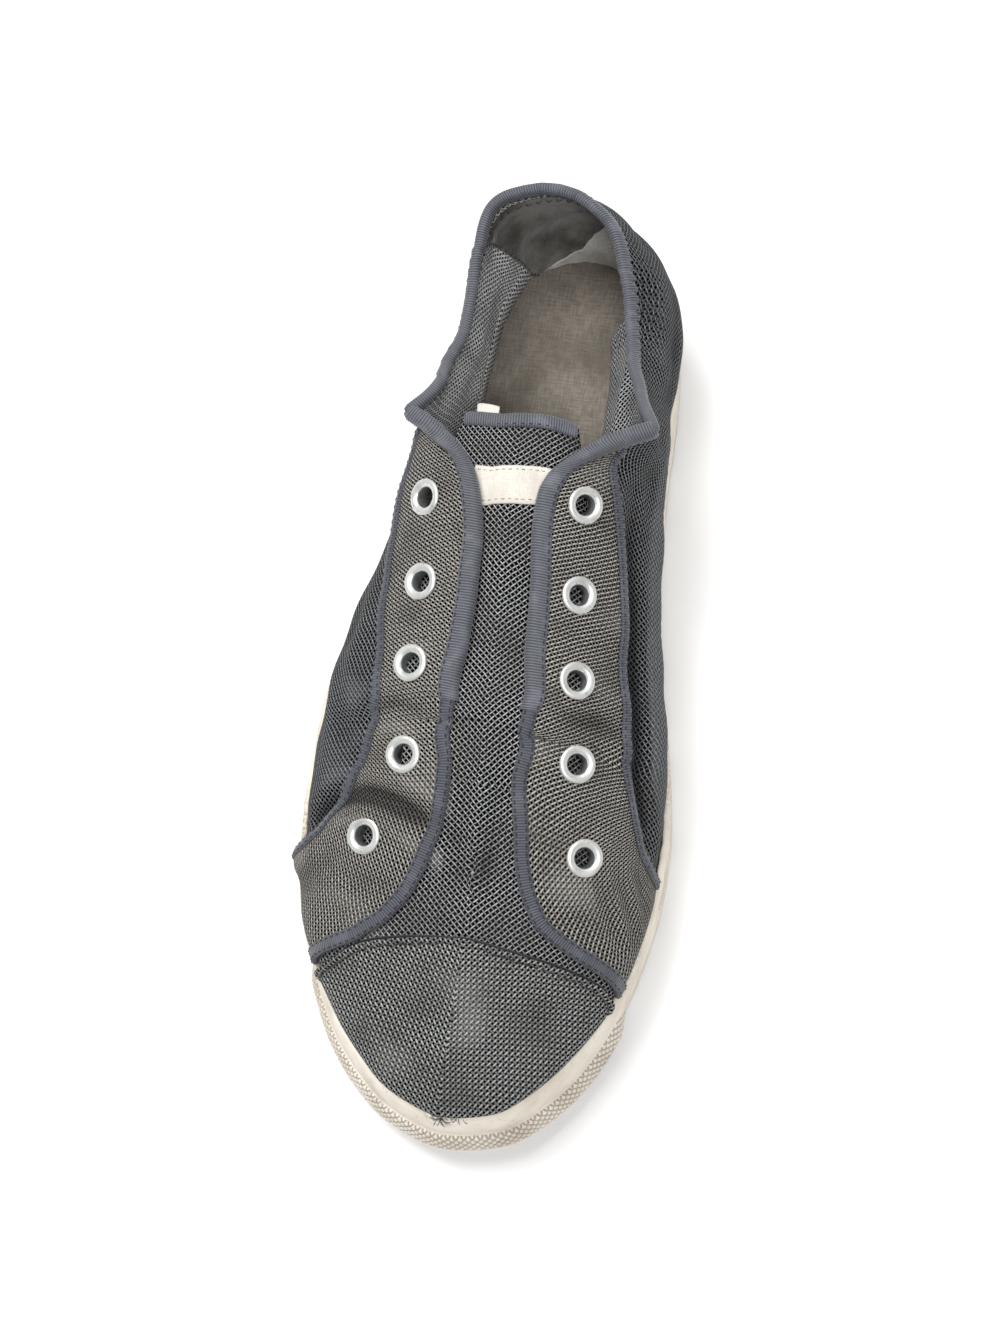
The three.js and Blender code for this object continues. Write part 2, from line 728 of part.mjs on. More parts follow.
const EYESTAY_REAR = {
  medial: [
    [0.00, 11.42, 0.900],
    [0.08, 11.20, 0.830],
    [0.20, 10.80, 0.700],
    [0.30, 10.40, 0.620],
    [0.47, 9.70, 0.570],
    [0.63, 9.10, 0.550],
    [0.83, 8.40, 0.540],
    [1.00, 7.80, 0.505],
    [1.20, 7.15, 0.425],
    [1.45, 6.65, 0.360],
    [1.72, 6.30, 0.280],
    [1.90, 6.12, 0.150],
    [2.00, 6.05, 0.020],
  ],
  lateral: [
    [0.00, 11.42, 0.870],
    [0.06, 11.22, 0.730],
    [0.15, 10.95, 0.620],
    [0.30, 10.40, 0.570],
    [0.45, 9.90, 0.560],
    [0.62, 9.25, 0.580],
    [0.77, 8.70, 0.610],
    [0.90, 8.20, 0.645],
    [1.00, 7.85, 0.655],
    [1.15, 7.45, 0.605],
    [1.30, 7.05, 0.575],
    [1.50, 6.70, 0.540],
    [1.65, 6.40, 0.480],
    [1.80, 6.10, 0.410],
    [1.90, 5.85, 0.310],
    [1.96, 5.72, 0.180],
    [2.00, 5.64, 0.020],
  ],
};

function frontLine(side) {
  const start = [1, THROAT_LOW, heightBelowEdge(side, THROAT_LOW, BINDING_WIDTH / 2)];
  const lower = smoothRows([start, ...EYESTAY_FRONT[side]]);
  return (at) => {
    if (at > 1) return lower(at);
    const station = mix(THROAT_TOP, THROAT_LOW, at);
    return [station, heightBelowEdge(side, station, BINDING_WIDTH / 2)];
  };
}
const FRONT_LINE = { medial: frontLine(INNER), lateral: frontLine(OUTER) };
const REAR_LINE = { medial: smoothRows(EYESTAY_REAR.medial), lateral: smoothRows(EYESTAY_REAR.lateral) };

// Moves a station and height by a small step over the surface, along a direction in space
function stepOver(side, [station, height], direction) {
  const step = 1e-3;
  const above = Math.min(1, height + step);
  const overStation = upperPoint(side, station + step, height)
    .sub(upperPoint(side, station - step, height)).divideScalar(2 * step);
  const overHeight = upperPoint(side, station, above)
    .sub(upperPoint(side, station, above - 2 * step)).divideScalar(2 * step);
  const [a, b, c] = [overStation.lengthSq(), overStation.dot(overHeight), overHeight.lengthSq()];
  const [p, q] = [overStation.dot(direction), overHeight.dot(direction)];
  const scale = a * c - b * b;
  return [station + (c * p - b * q) / scale, height + (a * q - b * p) / scale];
}

// Station and height of a place beside a line, a distance away from the throat over the surface
function besideLine(side, line, at, distance) {
  const step = 1e-3;
  const steps = 4;
  const ahead = upperPoint(side, ...line(Math.min(2, at + step)));
  const along = ahead.sub(upperPoint(side, ...line(Math.max(0, at - step))));
  let place = line(at);
  for (let turn = 0; turn < steps; turn += 1) {
    const { outwards } = upperFrame(side, ...place);
    const across = outwards.cross(along).normalize();
    place = stepOver(side, place, across.multiplyScalar((side === INNER ? distance : -distance) / steps));
  }
  return place;
}

// Places from one end of a line to the other, evenly spaced over the surface
function evenPlaces(side, lines, from, to, steps) {
  const fine = 200;
  const lengths = [0];
  const pointsAt = (at) => lines.map((line) => upperPoint(side, ...line(at)));
  let before = pointsAt(from);
  for (let index = 1; index <= fine; index += 1) {
    const here = pointsAt(mix(from, to, index / fine));
    const moved = here.reduce((sum, point, line) => sum + point.distanceTo(before[line]), 0);
    lengths.push(lengths[index - 1] + moved);
    before = here;
  }
  const places = [];
  let index = 0;
  for (let step = 0; step <= steps; step += 1) {
    const wanted = lengths[fine] * (step / steps);
    while (index < fine - 1 && lengths[index + 1] < wanted) index += 1;
    const share = (wanted - lengths[index]) / (lengths[index + 1] - lengths[index]);
    places.push(mix(from, to, (index + share) / fine));
  }
  return places;
}

const LINE_END = 1.99;

// Flat tape of a given width on the upper, along a line
function tapeGeometry(side, line, from, to, steps) {
  const places = evenPlaces(side, [line], from, to, steps);
  const grid = (offset) => places.map((at) => [-0.5, 0, 0.5].map((share) => {
    const [station, height] = besideLine(side, line, at, share * TAPE_WIDTH);
    return onUpper(side, station, Math.min(height, 1), offset);
  }));
  return sheetSolid(grid(CLEARANCE + TAPE), grid(CLEARANCE));
}

// Eyestay: the cloth panel between the two tapes, with one row of eyelets
const PANEL_START = 0.12;
const PANEL_BEND = 1.83;
const PANEL_STEPS = 19;
const PANEL_END_STEPS = 5;
const PANEL_SHARES = [0, 0.2, 0.4, 0.6, 0.8, 1];

function eyestayGeometry(side) {
  const margin = TAPE_WIDTH / 2 + SEAM_GAP;
  const lines = [FRONT_LINE[side], REAR_LINE[side]];
  const places = [
    ...evenPlaces(side, lines, PANEL_START, PANEL_BEND, PANEL_STEPS),
    ...evenPlaces(side, lines, PANEL_BEND, LINE_END, PANEL_END_STEPS).slice(1),
  ];
  const grid = (offset) => places.map((at) => {
    const front = besideLine(side, FRONT_LINE[side], at, margin);
    const rear = besideLine(side, REAR_LINE[side], at, -margin);
    return PANEL_SHARES.map((share) => onUpper(
      side,
      mix(front[0], rear[0], share),
      mix(front[1], rear[1], share),
      offset,
    ));
  });
  return sheetSolid(grid(OVERLAY_GAP + OVERLAY), grid(OVERLAY_GAP));
}

// Folded binding that wraps an edge, as one ring of its section
function bindingRing(side, station) {
  const outer = BINDING_GAP;
  const inner = WALL + BINDING_GAP;
  const { outwards, up } = upperFrame(side, station, 1);
  const corner = (beyond, offset) => {
    if (beyond < 0) return onUpper(side, station, heightBelowEdge(side, station, -beyond), offset);
    return topPoint(side, station).addScaledVector(up, beyond).addScaledVector(outwards, offset);
  };
  return [
    corner(-BINDING_WIDTH, outer + TAPE),
    corner(BINDING_GAP + BINDING, outer + TAPE),
    corner(BINDING_GAP + BINDING, -inner - BINDING),
    corner(-BINDING_WIDTH, -inner - BINDING),
    corner(-BINDING_WIDTH, -inner),
    corner(BINDING_GAP, -inner),
    corner(BINDING_GAP, outer),
    corner(-BINDING_WIDTH, outer),
  ];
}

// Throat binding: folded over the free edge, then flat on the vamp down to the foxing
const FLAT_START = 0.95;
const FLAT_STEPS = 26;

function throatBindingGeometry(side) {
  const stations = STATIONS.filter((station) => station >= THROAT_LOW && station < THROAT_TOP);
  const folded = sweepSolid([...stations, THROAT_TOP].map((station) => bindingRing(side, station)), false);
  const flat = tapeGeometry(side, FRONT_LINE[side], FLAT_START, LINE_END, FLAT_STEPS);
  return toGeometry(toSolid(folded).add(toSolid(flat)));
}

function collarBindingGeometry() {
  const stations = STATIONS.filter((station) => station > CORNER);
  const rings = [
    ...stations.map((station) => bindingRing(INNER, station)),
    ...stations.slice(0, -1).reverse().map((station) => bindingRing(OUTER, station)),
  ];
  return sweepSolid(rings, false);
}

// Rear tape of the eyestay, from the top corner to the foxing
const TAPE_START = 0.1;
const TAPE_STEPS = 24;
const rearTapeGeometry = (side) => tapeGeometry(side, REAR_LINE[side], TAPE_START, LINE_END, TAPE_STEPS);

// Eyelets: station and height of each, from the top down
const EYELETS = {
  medial: [[10.45, 0.81], [9.4, 0.8], [8.3, 0.79], [7.2, 0.67], [6.0, 0.6]],
  lateral: [[10.35, 0.78], [9.3, 0.79], [8.2, 0.81], [6.95, 0.73], [5.8, 0.6]],
};
const EYELET_SIDES = 10;
const HOLE_SIDES = 8;

function eyeletTurn(side, [station, height]) {
  const { outwards } = upperFrame(side, station, height);
  return new THREE.Quaternion().setFromUnitVectors(new THREE.Vector3(0, 1, 0), outwards);
}

function eyeletGeometry(side, place) {
  const seat = OVERLAY_GAP + OVERLAY + EYELET_SEAT;
  const back = -WALL - EYELET_SEAT;
  const hole = EYELET_HOLE / 2;
  const tube = hole + EYELET_TUBE;
  const outer = EYELET_OUTER / 2;
  const profile = [
    [hole, back - EYELET_BACK],
    [EYELET_BACK_OUTER / 2, back],
    [tube, back],
    [tube, seat],
    [outer, seat],
    [(outer + tube) / 2, seat + EYELET_FLANGE],
    [hole, seat + EYELET_FLANGE / 4],
    [hole, back - EYELET_BACK],
  ].map(([radius, height]) => new THREE.Vector2(radius, height));
  const lathe = new THREE.LatheGeometry(profile, EYELET_SIDES);
  lathe.applyQuaternion(eyeletTurn(side, place));
  const at = upperPoint(side, ...place);
  lathe.translate(at.x, at.y, at.z);
  return toGeometry(toSolid(lathe));
}

function cutEyeletHoles(geometry, side) {
  const reach = 2 * (WALL + OVERLAY + CLEARANCE);
  const radius = EYELET_HOLE / 2 + EYELET_TUBE + CLEARANCE;
  return EYELETS[side].reduce((solid, place) => {
    const drill = new THREE.CylinderGeometry(radius, radius, 2 * reach, HOLE_SIDES);
    drill.applyQuaternion(eyeletTurn(side, place));
    const at = upperPoint(side, ...place);
    drill.translate(at.x, at.y, at.z);
    return solid.subtract(toSolid(drill));
  }, geometry);
}

// Tongue: runs under both eyestays, from under the vamp to past the top of the throat
const TONGUE_DEPTH = WALL + EYELET_SEAT + EYELET_BACK + CLEARANCE;
const TONGUE_FRONT = 6.95;
const TONGUE_STRAIGHT = 10.2;
const TONGUE_WING = 0.72;
const TONGUE_INNER = 0.9;
const TONGUE_TAPER = 0.15;
const TONGUE_DROOP = 0.6;
const TONGUE_END = 2;
const TONGUE_NEAR_END = 1.7;
const TONGUE_LEAD = 0.85;
const TONGUE_ROWS = [0, 0.1, 0.2, 0.32, 0.44, 0.56, 0.68, 0.8, 0.9, 1, 1.35, TONGUE_NEAR_END, TONGUE_END];

function tongueRow(at, depth) {
  const station = mix(TONGUE_FRONT, TONGUE_STRAIGHT, Math.min(at, 1));
  const heights = [TONGUE_WING, mix(TONGUE_WING, TONGUE_INNER, 0.5), TONGUE_INNER];
  const wing = (side) => heights.map((height) => onUpper(side, station, height, -depth));
  const left = wing(OUTER);
  const right = wing(INNER).reverse();
  const middle = left[2].clone().lerp(right[0], 0.5);
  middle.z += TONGUE_CROWN;
  const row = [...left, middle.clone(), ...right];
  if (at <= 1) return row;
  const heading = row[3].clone().sub(tongueRow(TONGUE_LEAD, depth)[3]);
  heading.z *= TONGUE_DROOP;
  heading.normalize().multiplyScalar((at - 1) * TONGUE_REACH);
  return row.map((point) => point.lerp(middle, TONGUE_TAPER * (at - 1)).add(heading));
}

const tongueGeometry = () => sheetSolid(
  TONGUE_ROWS.map((at) => tongueRow(at, TONGUE_DEPTH)),
  TONGUE_ROWS.map((at) => tongueRow(at, TONGUE_DEPTH + TONGUE)),
);

// Binding folded over the top end of the tongue
function tongueBindingGeometry() {
  const end = tongueRow(TONGUE_END, TONGUE_DEPTH);
  const heading = end[3].clone().sub(tongueRow(TONGUE_NEAR_END, TONGUE_DEPTH)[3]).normalize();
  const rings = end.map((point, column) => {
    const under = tongueRow(TONGUE_END, TONGUE_DEPTH + TONGUE)[column];
    const up = point.clone().sub(under).normalize();
    const corner = (base, beyond, rise) => base.clone()
      .addScaledVector(heading, beyond).addScaledVector(up, rise);
    return [
      corner(point, -BINDING_WIDTH, CLEARANCE + BINDING),
      corner(point, CLEARANCE + BINDING, CLEARANCE + BINDING),
      corner(under, CLEARANCE + BINDING, -CLEARANCE - BINDING),
      corner(under, -BINDING_WIDTH, -CLEARANCE - BINDING),
      corner(under, -BINDING_WIDTH, -CLEARANCE),
      corner(under, CLEARANCE, -CLEARANCE),
      corner(point, CLEARANCE, CLEARANCE),
      corner(point, -BINDING_WIDTH, CLEARANCE),
    ];
  });
  return sweepSolid(rings, false);
}

// Woven label sewn on the tongue, bare of any text
const LABEL_AT = 1.45;
const LABEL_INSET = 0.2;
function labelGeometry() {
  const grid = (lift) => [-0.5, 0, 0.5].map((share) => {
    const row = tongueRow(LABEL_AT + share * LABEL_HEIGHT / TONGUE_REACH, TONGUE_DEPTH);
    const ends = [row[2], row[4]].map((point) => point.lerp(row[3], LABEL_INSET));
    return [ends[0], row[3], ends[1]].map((point) => point.clone().setZ(point.z + lift));
  });
  return sheetSolid(grid(CLEARANCE + LABEL), grid(CLEARANCE));
}

// Lining patch inside the heel
const LINING_STATIONS = [
  ...[14.8, 15.3, 15.8, 16.2, 16.6, 17].map((station) => [OUTER, station]),
  ...[16.6, 16.2, 15.8].map((station) => [INNER, station]),
];
function liningGeometry() {
  const grid = (offset) => LINING_STATIONS.map(([side, station]) => {
    const along = stationAlong(side, station);
    const floor = soleTop(along) + INSOLE + 3 * CLEARANCE;
    const [low, high] = [upperFoot(side, station, 0).z, upperFoot(side, station, 1).z];
    const bottom = (floor - high) / (high - low);
    const top = heightBelowEdge(side, station, BINDING_WIDTH + 3 * CLEARANCE);
    return [bottom, 0, 0.25, 0.5, 0.75, 1].map((share, level) => onUpper(
      side,
      station,
      level === 0 ? bottom : share * top,
      offset,
    ));
  });
  return sheetSolid(grid(-WALL - CLEARANCE), grid(-WALL - CLEARANCE - LINING));
}

const SIDES = [INNER, OUTER];
const CLOTH_GREY = '#5d6266';
const TAPE_GREY = '#5c6374';

addPiece('outsole', outsoleGeometry(), '#b9b2a4', RUBBER);
addPiece('foxing', sweepSolid(ROUND.map((at) => foxingRing(...at)), true), '#d9d3c8', RUBBER);
addPiece('toe_bumper', bumperGeometry(), '#cfc6b8', RUBBER);
addPiece('insole', insoleGeometry(), '#7d766c', CLOTH);
addPiece('upper', toGeometry(SIDES.reduce((solid, side) => cutEyeletHoles(solid, side),
  toSolid(upperGeometry()))), CLOTH_GREY, CLOTH);
addPiece('toe_cap', capGeometry(), '#5b6164', CLOTH);
SIDES.forEach((side) => {
  const eyestay = cutEyeletHoles(toSolid(eyestayGeometry(side)), side);
  addPiece(`eyestay_${side}`, toGeometry(eyestay), '#66655f', CLOTH);
  addPiece(`eyestay_tape_${side}`, rearTapeGeometry(side), TAPE_GREY, CLOTH);
  addPiece(`throat_binding_${side}`, throatBindingGeometry(side), TAPE_GREY, CLOTH);
  EYELETS[side].forEach((at, index) => {
    addPiece(`eyelet_${side}_${index + 1}`, eyeletGeometry(side, at), '#c9cbc9', STEEL);
  });
});
addPiece('collar_binding', collarBindingGeometry(), TAPE_GREY, CLOTH);
addPiece('tongue', tongueGeometry(), CLOTH_GREY, CLOTH);
addPiece('tongue_binding', tongueBindingGeometry(), TAPE_GREY, CLOTH);
addPiece('tongue_label', labelGeometry(), '#d5d2ca', CLOTH);
addPiece('heel_lining', liningGeometry(), '#6f6a63', CLOTH);

export default group;
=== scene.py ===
# Worn low cloth sneaker for the right foot, without laces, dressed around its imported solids.
# Surfaces are worked out in millimetres in the part's frame: X to the inner side of the foot,
# Y from toe to heel, Z up. A place on the upper is a signed station, positive on the inner side
# and negative on the outer side, and a height: -1 to 0 inside the foxing, 0 to 1 above it.
import math

import bmesh
import bpy
import numpy as np
from mathutils import Matrix, Vector


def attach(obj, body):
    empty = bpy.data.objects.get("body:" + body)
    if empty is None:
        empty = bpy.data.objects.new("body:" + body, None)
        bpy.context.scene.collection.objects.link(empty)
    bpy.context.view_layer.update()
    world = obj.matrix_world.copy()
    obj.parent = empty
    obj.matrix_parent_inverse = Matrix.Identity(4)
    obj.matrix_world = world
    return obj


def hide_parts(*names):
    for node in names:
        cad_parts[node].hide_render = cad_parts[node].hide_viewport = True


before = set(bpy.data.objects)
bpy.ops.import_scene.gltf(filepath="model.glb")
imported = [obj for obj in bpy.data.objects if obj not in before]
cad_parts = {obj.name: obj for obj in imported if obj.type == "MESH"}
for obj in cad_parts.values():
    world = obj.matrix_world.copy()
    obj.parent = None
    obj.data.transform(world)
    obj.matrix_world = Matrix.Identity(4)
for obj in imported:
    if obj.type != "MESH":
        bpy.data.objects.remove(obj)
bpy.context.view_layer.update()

MM = 0.001
INNER, OUTER = 1, -1
SIDE_NAMES = {INNER: "medial", OUTER: "lateral"}

# Sizes of the last and the sole, as in the part
LENGTH = 290
BALL_WIDTH = 112
HEEL_WIDTH = 70
INSTEP_HEIGHT = 81
HEEL_HEIGHT = 76
TOE_SPRING = 8
ARCH = 2
HEEL_BEVEL = 1.5
SOLE_BALL = 11.5
SOLE_HEEL = 17
SOLE_LEDGE = 6
FOXING = 2.6
FOXING_LIFT = 0.5
FOXING_TOP_TOE = 30
FOXING_TOP_BALL = 25.5
FOXING_TOP_HEEL = 28.5
FOXING_STEP = 0.6
FOXING_STEP_HEIGHT = 12
TOE_LEAN = 1.4
BUMPER = 2.2
CLEARANCE = 0.3
INSOLE = 3

# Where these change along the shoe, as shares of its length from the toe
WAIST = (0.4, 0.8)
HEEL_TOP = (0.7, 0.9)
SPRING_END = 0.25
ARCH_START, ARCH_LENGTH = 0.45, 0.25
BEVEL_START, BEVEL_LENGTH = 0.975, 0.025
SOLE_RISE = (0.42, 0.75)
FOXING_FRONT = (0, 0.2)
FOXING_REAR = (0.42, 0.8)
BUMPER_FADE = (0.06, 0.19)
LEAN_FADE = (0.02, 0.22)

# Sizes of the cloth pieces
WALL = 1.8
PANEL_LIFT = 0.5
PANEL = 0.96
TONGUE_DEPTH = 2.95
TONGUE = 1.6
TONGUE_REACH = 30

# Stations
BACK = 17
LOOP = 2 * BACK
HEEL_ROUND = (14.6, 16.2)
HEEL_BLUR = 0.9
HEEL_WEIGHTS = ((-1, 0.125), (-0.5, 0.25), (0, 0.25), (0.5, 0.25), (1, 0.125))
THROAT_BASE = 7.4
CORNER = 11.6
CAP_END = 4.4
CAP_LEVEL = 0.96
SPINE_SLOPE = 0.28
# Smallest step of a station or a height, to find slopes
STEP = 1e-3
# Points of a line that is about to be divided evenly
FINE = 300

# Camera of the photograph, in metres and degrees, with its focal length in pixels
CAMERA_PLACE = (0.07865, -0.19035, 0.66234)
CAMERA_AZIMUTH = -5.349
CAMERA_DEPRESSION = 72.409
CAMERA_ROLL = 3.830
FOCAL_PIXELS = 2200.6
IMAGE_WIDTH, IMAGE_HEIGHT = 1000, 1330
SHOE_MIDDLE_PIXEL = (283, 676)
SENSOR = 36
NEAREST = 0.01


def mix(low, high, share):
    return low + (high - low) * share


def ramp(low, high, value):
    """0 at low, 1 at high and smooth between them."""
    share = np.clip((np.asarray(value, float) - low) / (high - low), 0, 1)
    return share * share * (3 - 2 * share)


def unit(vectors):
    return vectors / np.maximum(np.linalg.norm(vectors, axis=-1, keepdims=True), 1e-9)


def make_camera():
    azimuth, depression, roll = (
        math.radians(angle) for angle in (CAMERA_AZIMUTH, CAMERA_DEPRESSION, CAMERA_ROLL)
    )
    forward = Vector((
        math.sin(azimuth) * math.cos(depression),
        math.cos(azimuth) * math.cos(depression),
        -math.sin(depression),
    ))
    level = forward.cross(Vector((0, 0, 1))).normalized()
    upright = level.cross(forward)
    right = math.cos(roll) * level + math.sin(roll) * upright
    up = -math.sin(roll) * level + math.cos(roll) * upright
    # The camera stands where the photographer's stood and turns to the middle of the one shoe
    aside = (SHOE_MIDDLE_PIXEL[0] - IMAGE_WIDTH / 2) / FOCAL_PIXELS
    below = (SHOE_MIDDLE_PIXEL[1] - IMAGE_HEIGHT / 2) / FOCAL_PIXELS
    forward = (forward + aside * right - below * up).normalized()
    right = forward.cross(up).normalized()
    up = right.cross(forward)
    data = bpy.data.cameras.new("camera")
    data.sensor_width = SENSOR
    data.lens = FOCAL_PIXELS / IMAGE_HEIGHT * SENSOR
    data.clip_start = NEAREST
    camera = bpy.data.objects.new("camera", data)
    turned = Matrix((right, up, -forward)).transposed().to_4x4()
    camera.matrix_world = Matrix.Translation(CAMERA_PLACE) @ turned
    bpy.context.scene.collection.objects.link(camera)
    bpy.context.scene.camera = camera


make_camera()


# The last: its outline, heights and wall

def smooth_rows(rows):
    """A smooth curve through rows that start with their own parameter."""
    rows = np.array(rows, float)
    places, values = rows[:, 0], rows[:, 1:]
    secants = np.diff(values, axis=0) / np.diff(places)[:, None]
    before, after = np.diff(places)[:-1, None], np.diff(places)[1:, None]
    inner = (secants[:-1] * after + secants[1:] * before) / (before + after)
    tangents = np.vstack([secants[:1], inner, secants[-1:]])

    def curve(parameter):
        at = np.clip(parameter, places[0], places[-1])
        row = np.clip(np.searchsorted(places, at, side="right") - 1, 0, len(places) - 2)
        span = (places[row + 1] - places[row])[..., None]
        t = (at - places[row])[..., None] / span
        start, end = values[row], values[row + 1]
        out, into = tangents[row] * span, tangents[row + 1] * span
        return start + t * (out + t * (3 * (end - start) - 2 * out - into
                                       + t * (2 * (start - end) + out + into)))

    return curve


def width_at(along):
    return mix(BALL_WIDTH, HEEL_WIDTH, ramp(*WAIST, along))


def height_at(along):
    return mix(INSTEP_HEIGHT, HEEL_HEIGHT, ramp(*HEEL_TOP, along))


def shares_to_points(shares):
    side, along, height = shares[..., 0], shares[..., 1], shares[..., 2]
    return np.stack([
        side * width_at(along), (along - 0.5) * LENGTH, height * height_at(along),
    ], axis=-1)


# Share of the length, then inner and outer share of the width
OUTLINE = [
    [0.000, 0.040, 0.040], [0.012, 0.183, -0.085], [0.035, 0.268, -0.183],
    [0.080, 0.362, -0.295], [0.141, 0.430, -0.384], [0.210, 0.473, -0.451],
    [0.280, 0.496, -0.487], [0.350, 0.491, -0.500], [0.430, 0.454, -0.503],
    [0.500, 0.430, -0.502], [0.580, 0.431, -0.492], [0.660, 0.455, -0.482],
    [0.740, 0.486, -0.492], [0.820, 0.491, -0.500], [0.890, 0.454, -0.474],
    [0.940, 0.364, -0.400], [0.980, 0.221, -0.243], [1.000, 0.000, 0.000],
]
outline_shares = [[inner, along, 0] for along, inner, _ in OUTLINE]
outline_shares += [[outer, along, 0] for along, _, outer in OUTLINE[-2:0:-1]]
OUTLINE_LOOP = shares_to_points(np.array(outline_shares, float))[:, :2]


def outline_point(w, inset):
    """Plan position of the sole's outline at a signed station, moved inwards."""
    turn = np.mod(w, LOOP)
    index = np.floor(turn).astype(int)
    t = (turn - index)[..., None]
    p0, p1, p2, p3 = (OUTLINE_LOOP[(index + shift) % LOOP] for shift in (-1, 0, 1, 2))
    out, into = (p2 - p0) / 2, (p3 - p1) / 2
    b = -3 * p1 + 3 * p2 - 2 * out - into
    a = 2 * p1 - 2 * p2 + out + into
    point = p1 + t * (out + t * (b + t * a))
    forward = unit(out + t * (2 * b + 3 * t * a))
    inwards = np.stack([-forward[..., 1], forward[..., 0]], axis=-1)
    return point + inwards * np.asarray(inset)[..., None]


def along_at(w):
    return outline_point(w, np.zeros(np.shape(w)))[..., 1] / LENGTH + 0.5


def toe_spring(along):
    return TOE_SPRING * np.clip(1 - along / SPRING_END, 0, 1) ** 2


def sole_bottom(along):
    arch = ARCH * np.sin(np.pi * np.clip((along - ARCH_START) / ARCH_LENGTH, 0, 1)) ** 2
    bevel = HEEL_BEVEL * np.clip((along - BEVEL_START) / BEVEL_LENGTH, 0, 1) ** 2
    return toe_spring(along) + arch + bevel


def sole_top(along):
    return toe_spring(along) + mix(SOLE_BALL, SOLE_HEEL, ramp(*SOLE_RISE, along))


def foxing_top(along):
    front = mix(FOXING_TOP_TOE, FOXING_TOP_BALL, ramp(*FOXING_FRONT, along))
    return mix(front, FOXING_TOP_HEEL, ramp(*FOXING_REAR, along))


def bumper_share(along):
    return 1 - ramp(*BUMPER_FADE, along)


def foxing_inset(along):
    return (BUMPER + CLEARANCE) * bumper_share(along)


def lean_at(along, height):
    low = sole_bottom(along) + FOXING_LIFT
    rise = np.clip((height - low) / (foxing_top(along) - low), 0, 1)
    return TOE_LEAN * (1 - ramp(*LEAN_FADE, along)) * rise


def with_height(plan, height):
    return np.concatenate([plan, np.asarray(height)[..., None]], axis=-1)


def upper_foot(w, rise):
    along = along_at(w)
    low = sole_bottom(along) + SOLE_LEDGE + CLEARANCE
    height = mix(low, foxing_top(along) + CLEARANCE, rise)
    inset = foxing_inset(along) + lean_at(along, height) + FOXING + CLEARANCE
    return with_height(outline_point(w, inset), height)


# Top line of the upper: station, then side, length and height shares
SPINE = [
    [4.4, 0.036, 0.184, 0.617], [5.2, 0.030, 0.228, 0.662], [6.0, 0.022, 0.283, 0.721],
    [6.8, 0.012, 0.338, 0.775], [7.4, 0.004, 0.384, 0.821],
]
THROAT_EDGE = {
    INNER: [
        [7.4, 0.004, 0.384, 0.821], [7.55, 0.058, 0.388, 0.822], [7.8, 0.086, 0.405, 0.830],
        [8.6, 0.079, 0.462, 0.870], [9.4, 0.070, 0.524, 0.914], [10.2, 0.051, 0.593, 0.963],
        [10.6, 0.064, 0.624, 0.988], [11.0, 0.132, 0.650, 1.000], [11.3, 0.264, 0.676, 0.998],
        [11.6, 0.437, 0.703, 0.963],
    ],
    OUTER: [
        [7.4, 0.004, 0.384, 0.821], [7.55, -0.053, 0.388, 0.822], [7.8, -0.083, 0.403, 0.827],
        [8.6, -0.089, 0.462, 0.872], [9.4, -0.096, 0.521, 0.911], [10.2, -0.128, 0.583, 0.956],
        [10.6, -0.169, 0.615, 0.981], [11.0, -0.242, 0.641, 0.998], [11.3, -0.348, 0.660, 0.994],
        [11.6, -0.488, 0.684, 0.963],
    ],
}
COLLAR_EDGE = {
    INNER: [
        [11.6, 0.437, 0.703, 0.963], [12.0, 0.406, 0.724, 0.928], [12.5, 0.362, 0.759, 0.869],
        [13.0, 0.310, 0.798, 0.821], [13.6, 0.270, 0.841, 0.816], [14.3, 0.226, 0.883, 0.841],
        [15.1, 0.157, 0.921, 0.882], [16.1, 0.043, 0.952, 0.951], [17.0, -0.121, 0.966, 0.993],
    ],
    OUTER: [
        [11.6, -0.488, 0.684, 0.963], [12.0, -0.440, 0.710, 0.928], [12.5, -0.406, 0.755, 0.866],
        [13.0, -0.380, 0.803, 0.824], [13.6, -0.391, 0.852, 0.841], [14.3, -0.419, 0.895, 0.882],
        [15.1, -0.400, 0.930, 0.929], [16.1, -0.290, 0.955, 0.974], [17.0, -0.121, 0.966, 0.993],
    ],
}

# Shape of the wall: station, rise of the lower handle, swell, reach and drop of the upper handle
WALL_FRONT = [
    [0.0, 0.50, 0.008, 0.50, 0.00], [4.4, 0.50, 0.008, 0.52, 0.00],
    [6.0, 0.50, 0.010, 0.55, 0.02], [7.4, 0.48, 0.012, 0.55, 0.05],
]
WALL_SHAPE = {
    INNER: [
        *WALL_FRONT,
        [8.6, 0.45, 0.020, 0.58, 0.10], [10.2, 0.42, 0.032, 0.70, 0.08],
        [11.0, 0.42, 0.034, 0.75, 0.12], [11.6, 0.40, 0.032, 0.60, 0.35],
        [12.5, 0.40, 0.050, 0.80, 0.35], [13.6, 0.40, 0.068, 0.90, 0.35],
        [15.1, 0.40, 0.045, 0.85, 0.35], [17.0, 0.40, 0.035, 0.80, 0.40],
    ],
    OUTER: [
        *WALL_FRONT,
        [8.6, 0.45, 0.016, 0.60, 0.10], [9.4, 0.43, 0.014, 0.72, 0.09],
        [10.2, 0.42, 0.010, 0.98, 0.10], [10.6, 0.42, 0.008, 1.20, 0.12],
        [11.0, 0.42, 0.006, 1.35, 0.16], [11.3, 0.42, 0.004, 1.45, 0.25],
        [11.6, 0.40, 0.004, 0.60, 0.35], [12.5, 0.40, 0.025, 0.80, 0.35],
        [13.6, 0.40, 0.042, 0.90, 0.35], [15.1, 0.40, 0.042, 0.90, 0.35],
        [17.0, 0.40, 0.035, 0.80, 0.40],
    ],
}
spine = smooth_rows(SPINE)
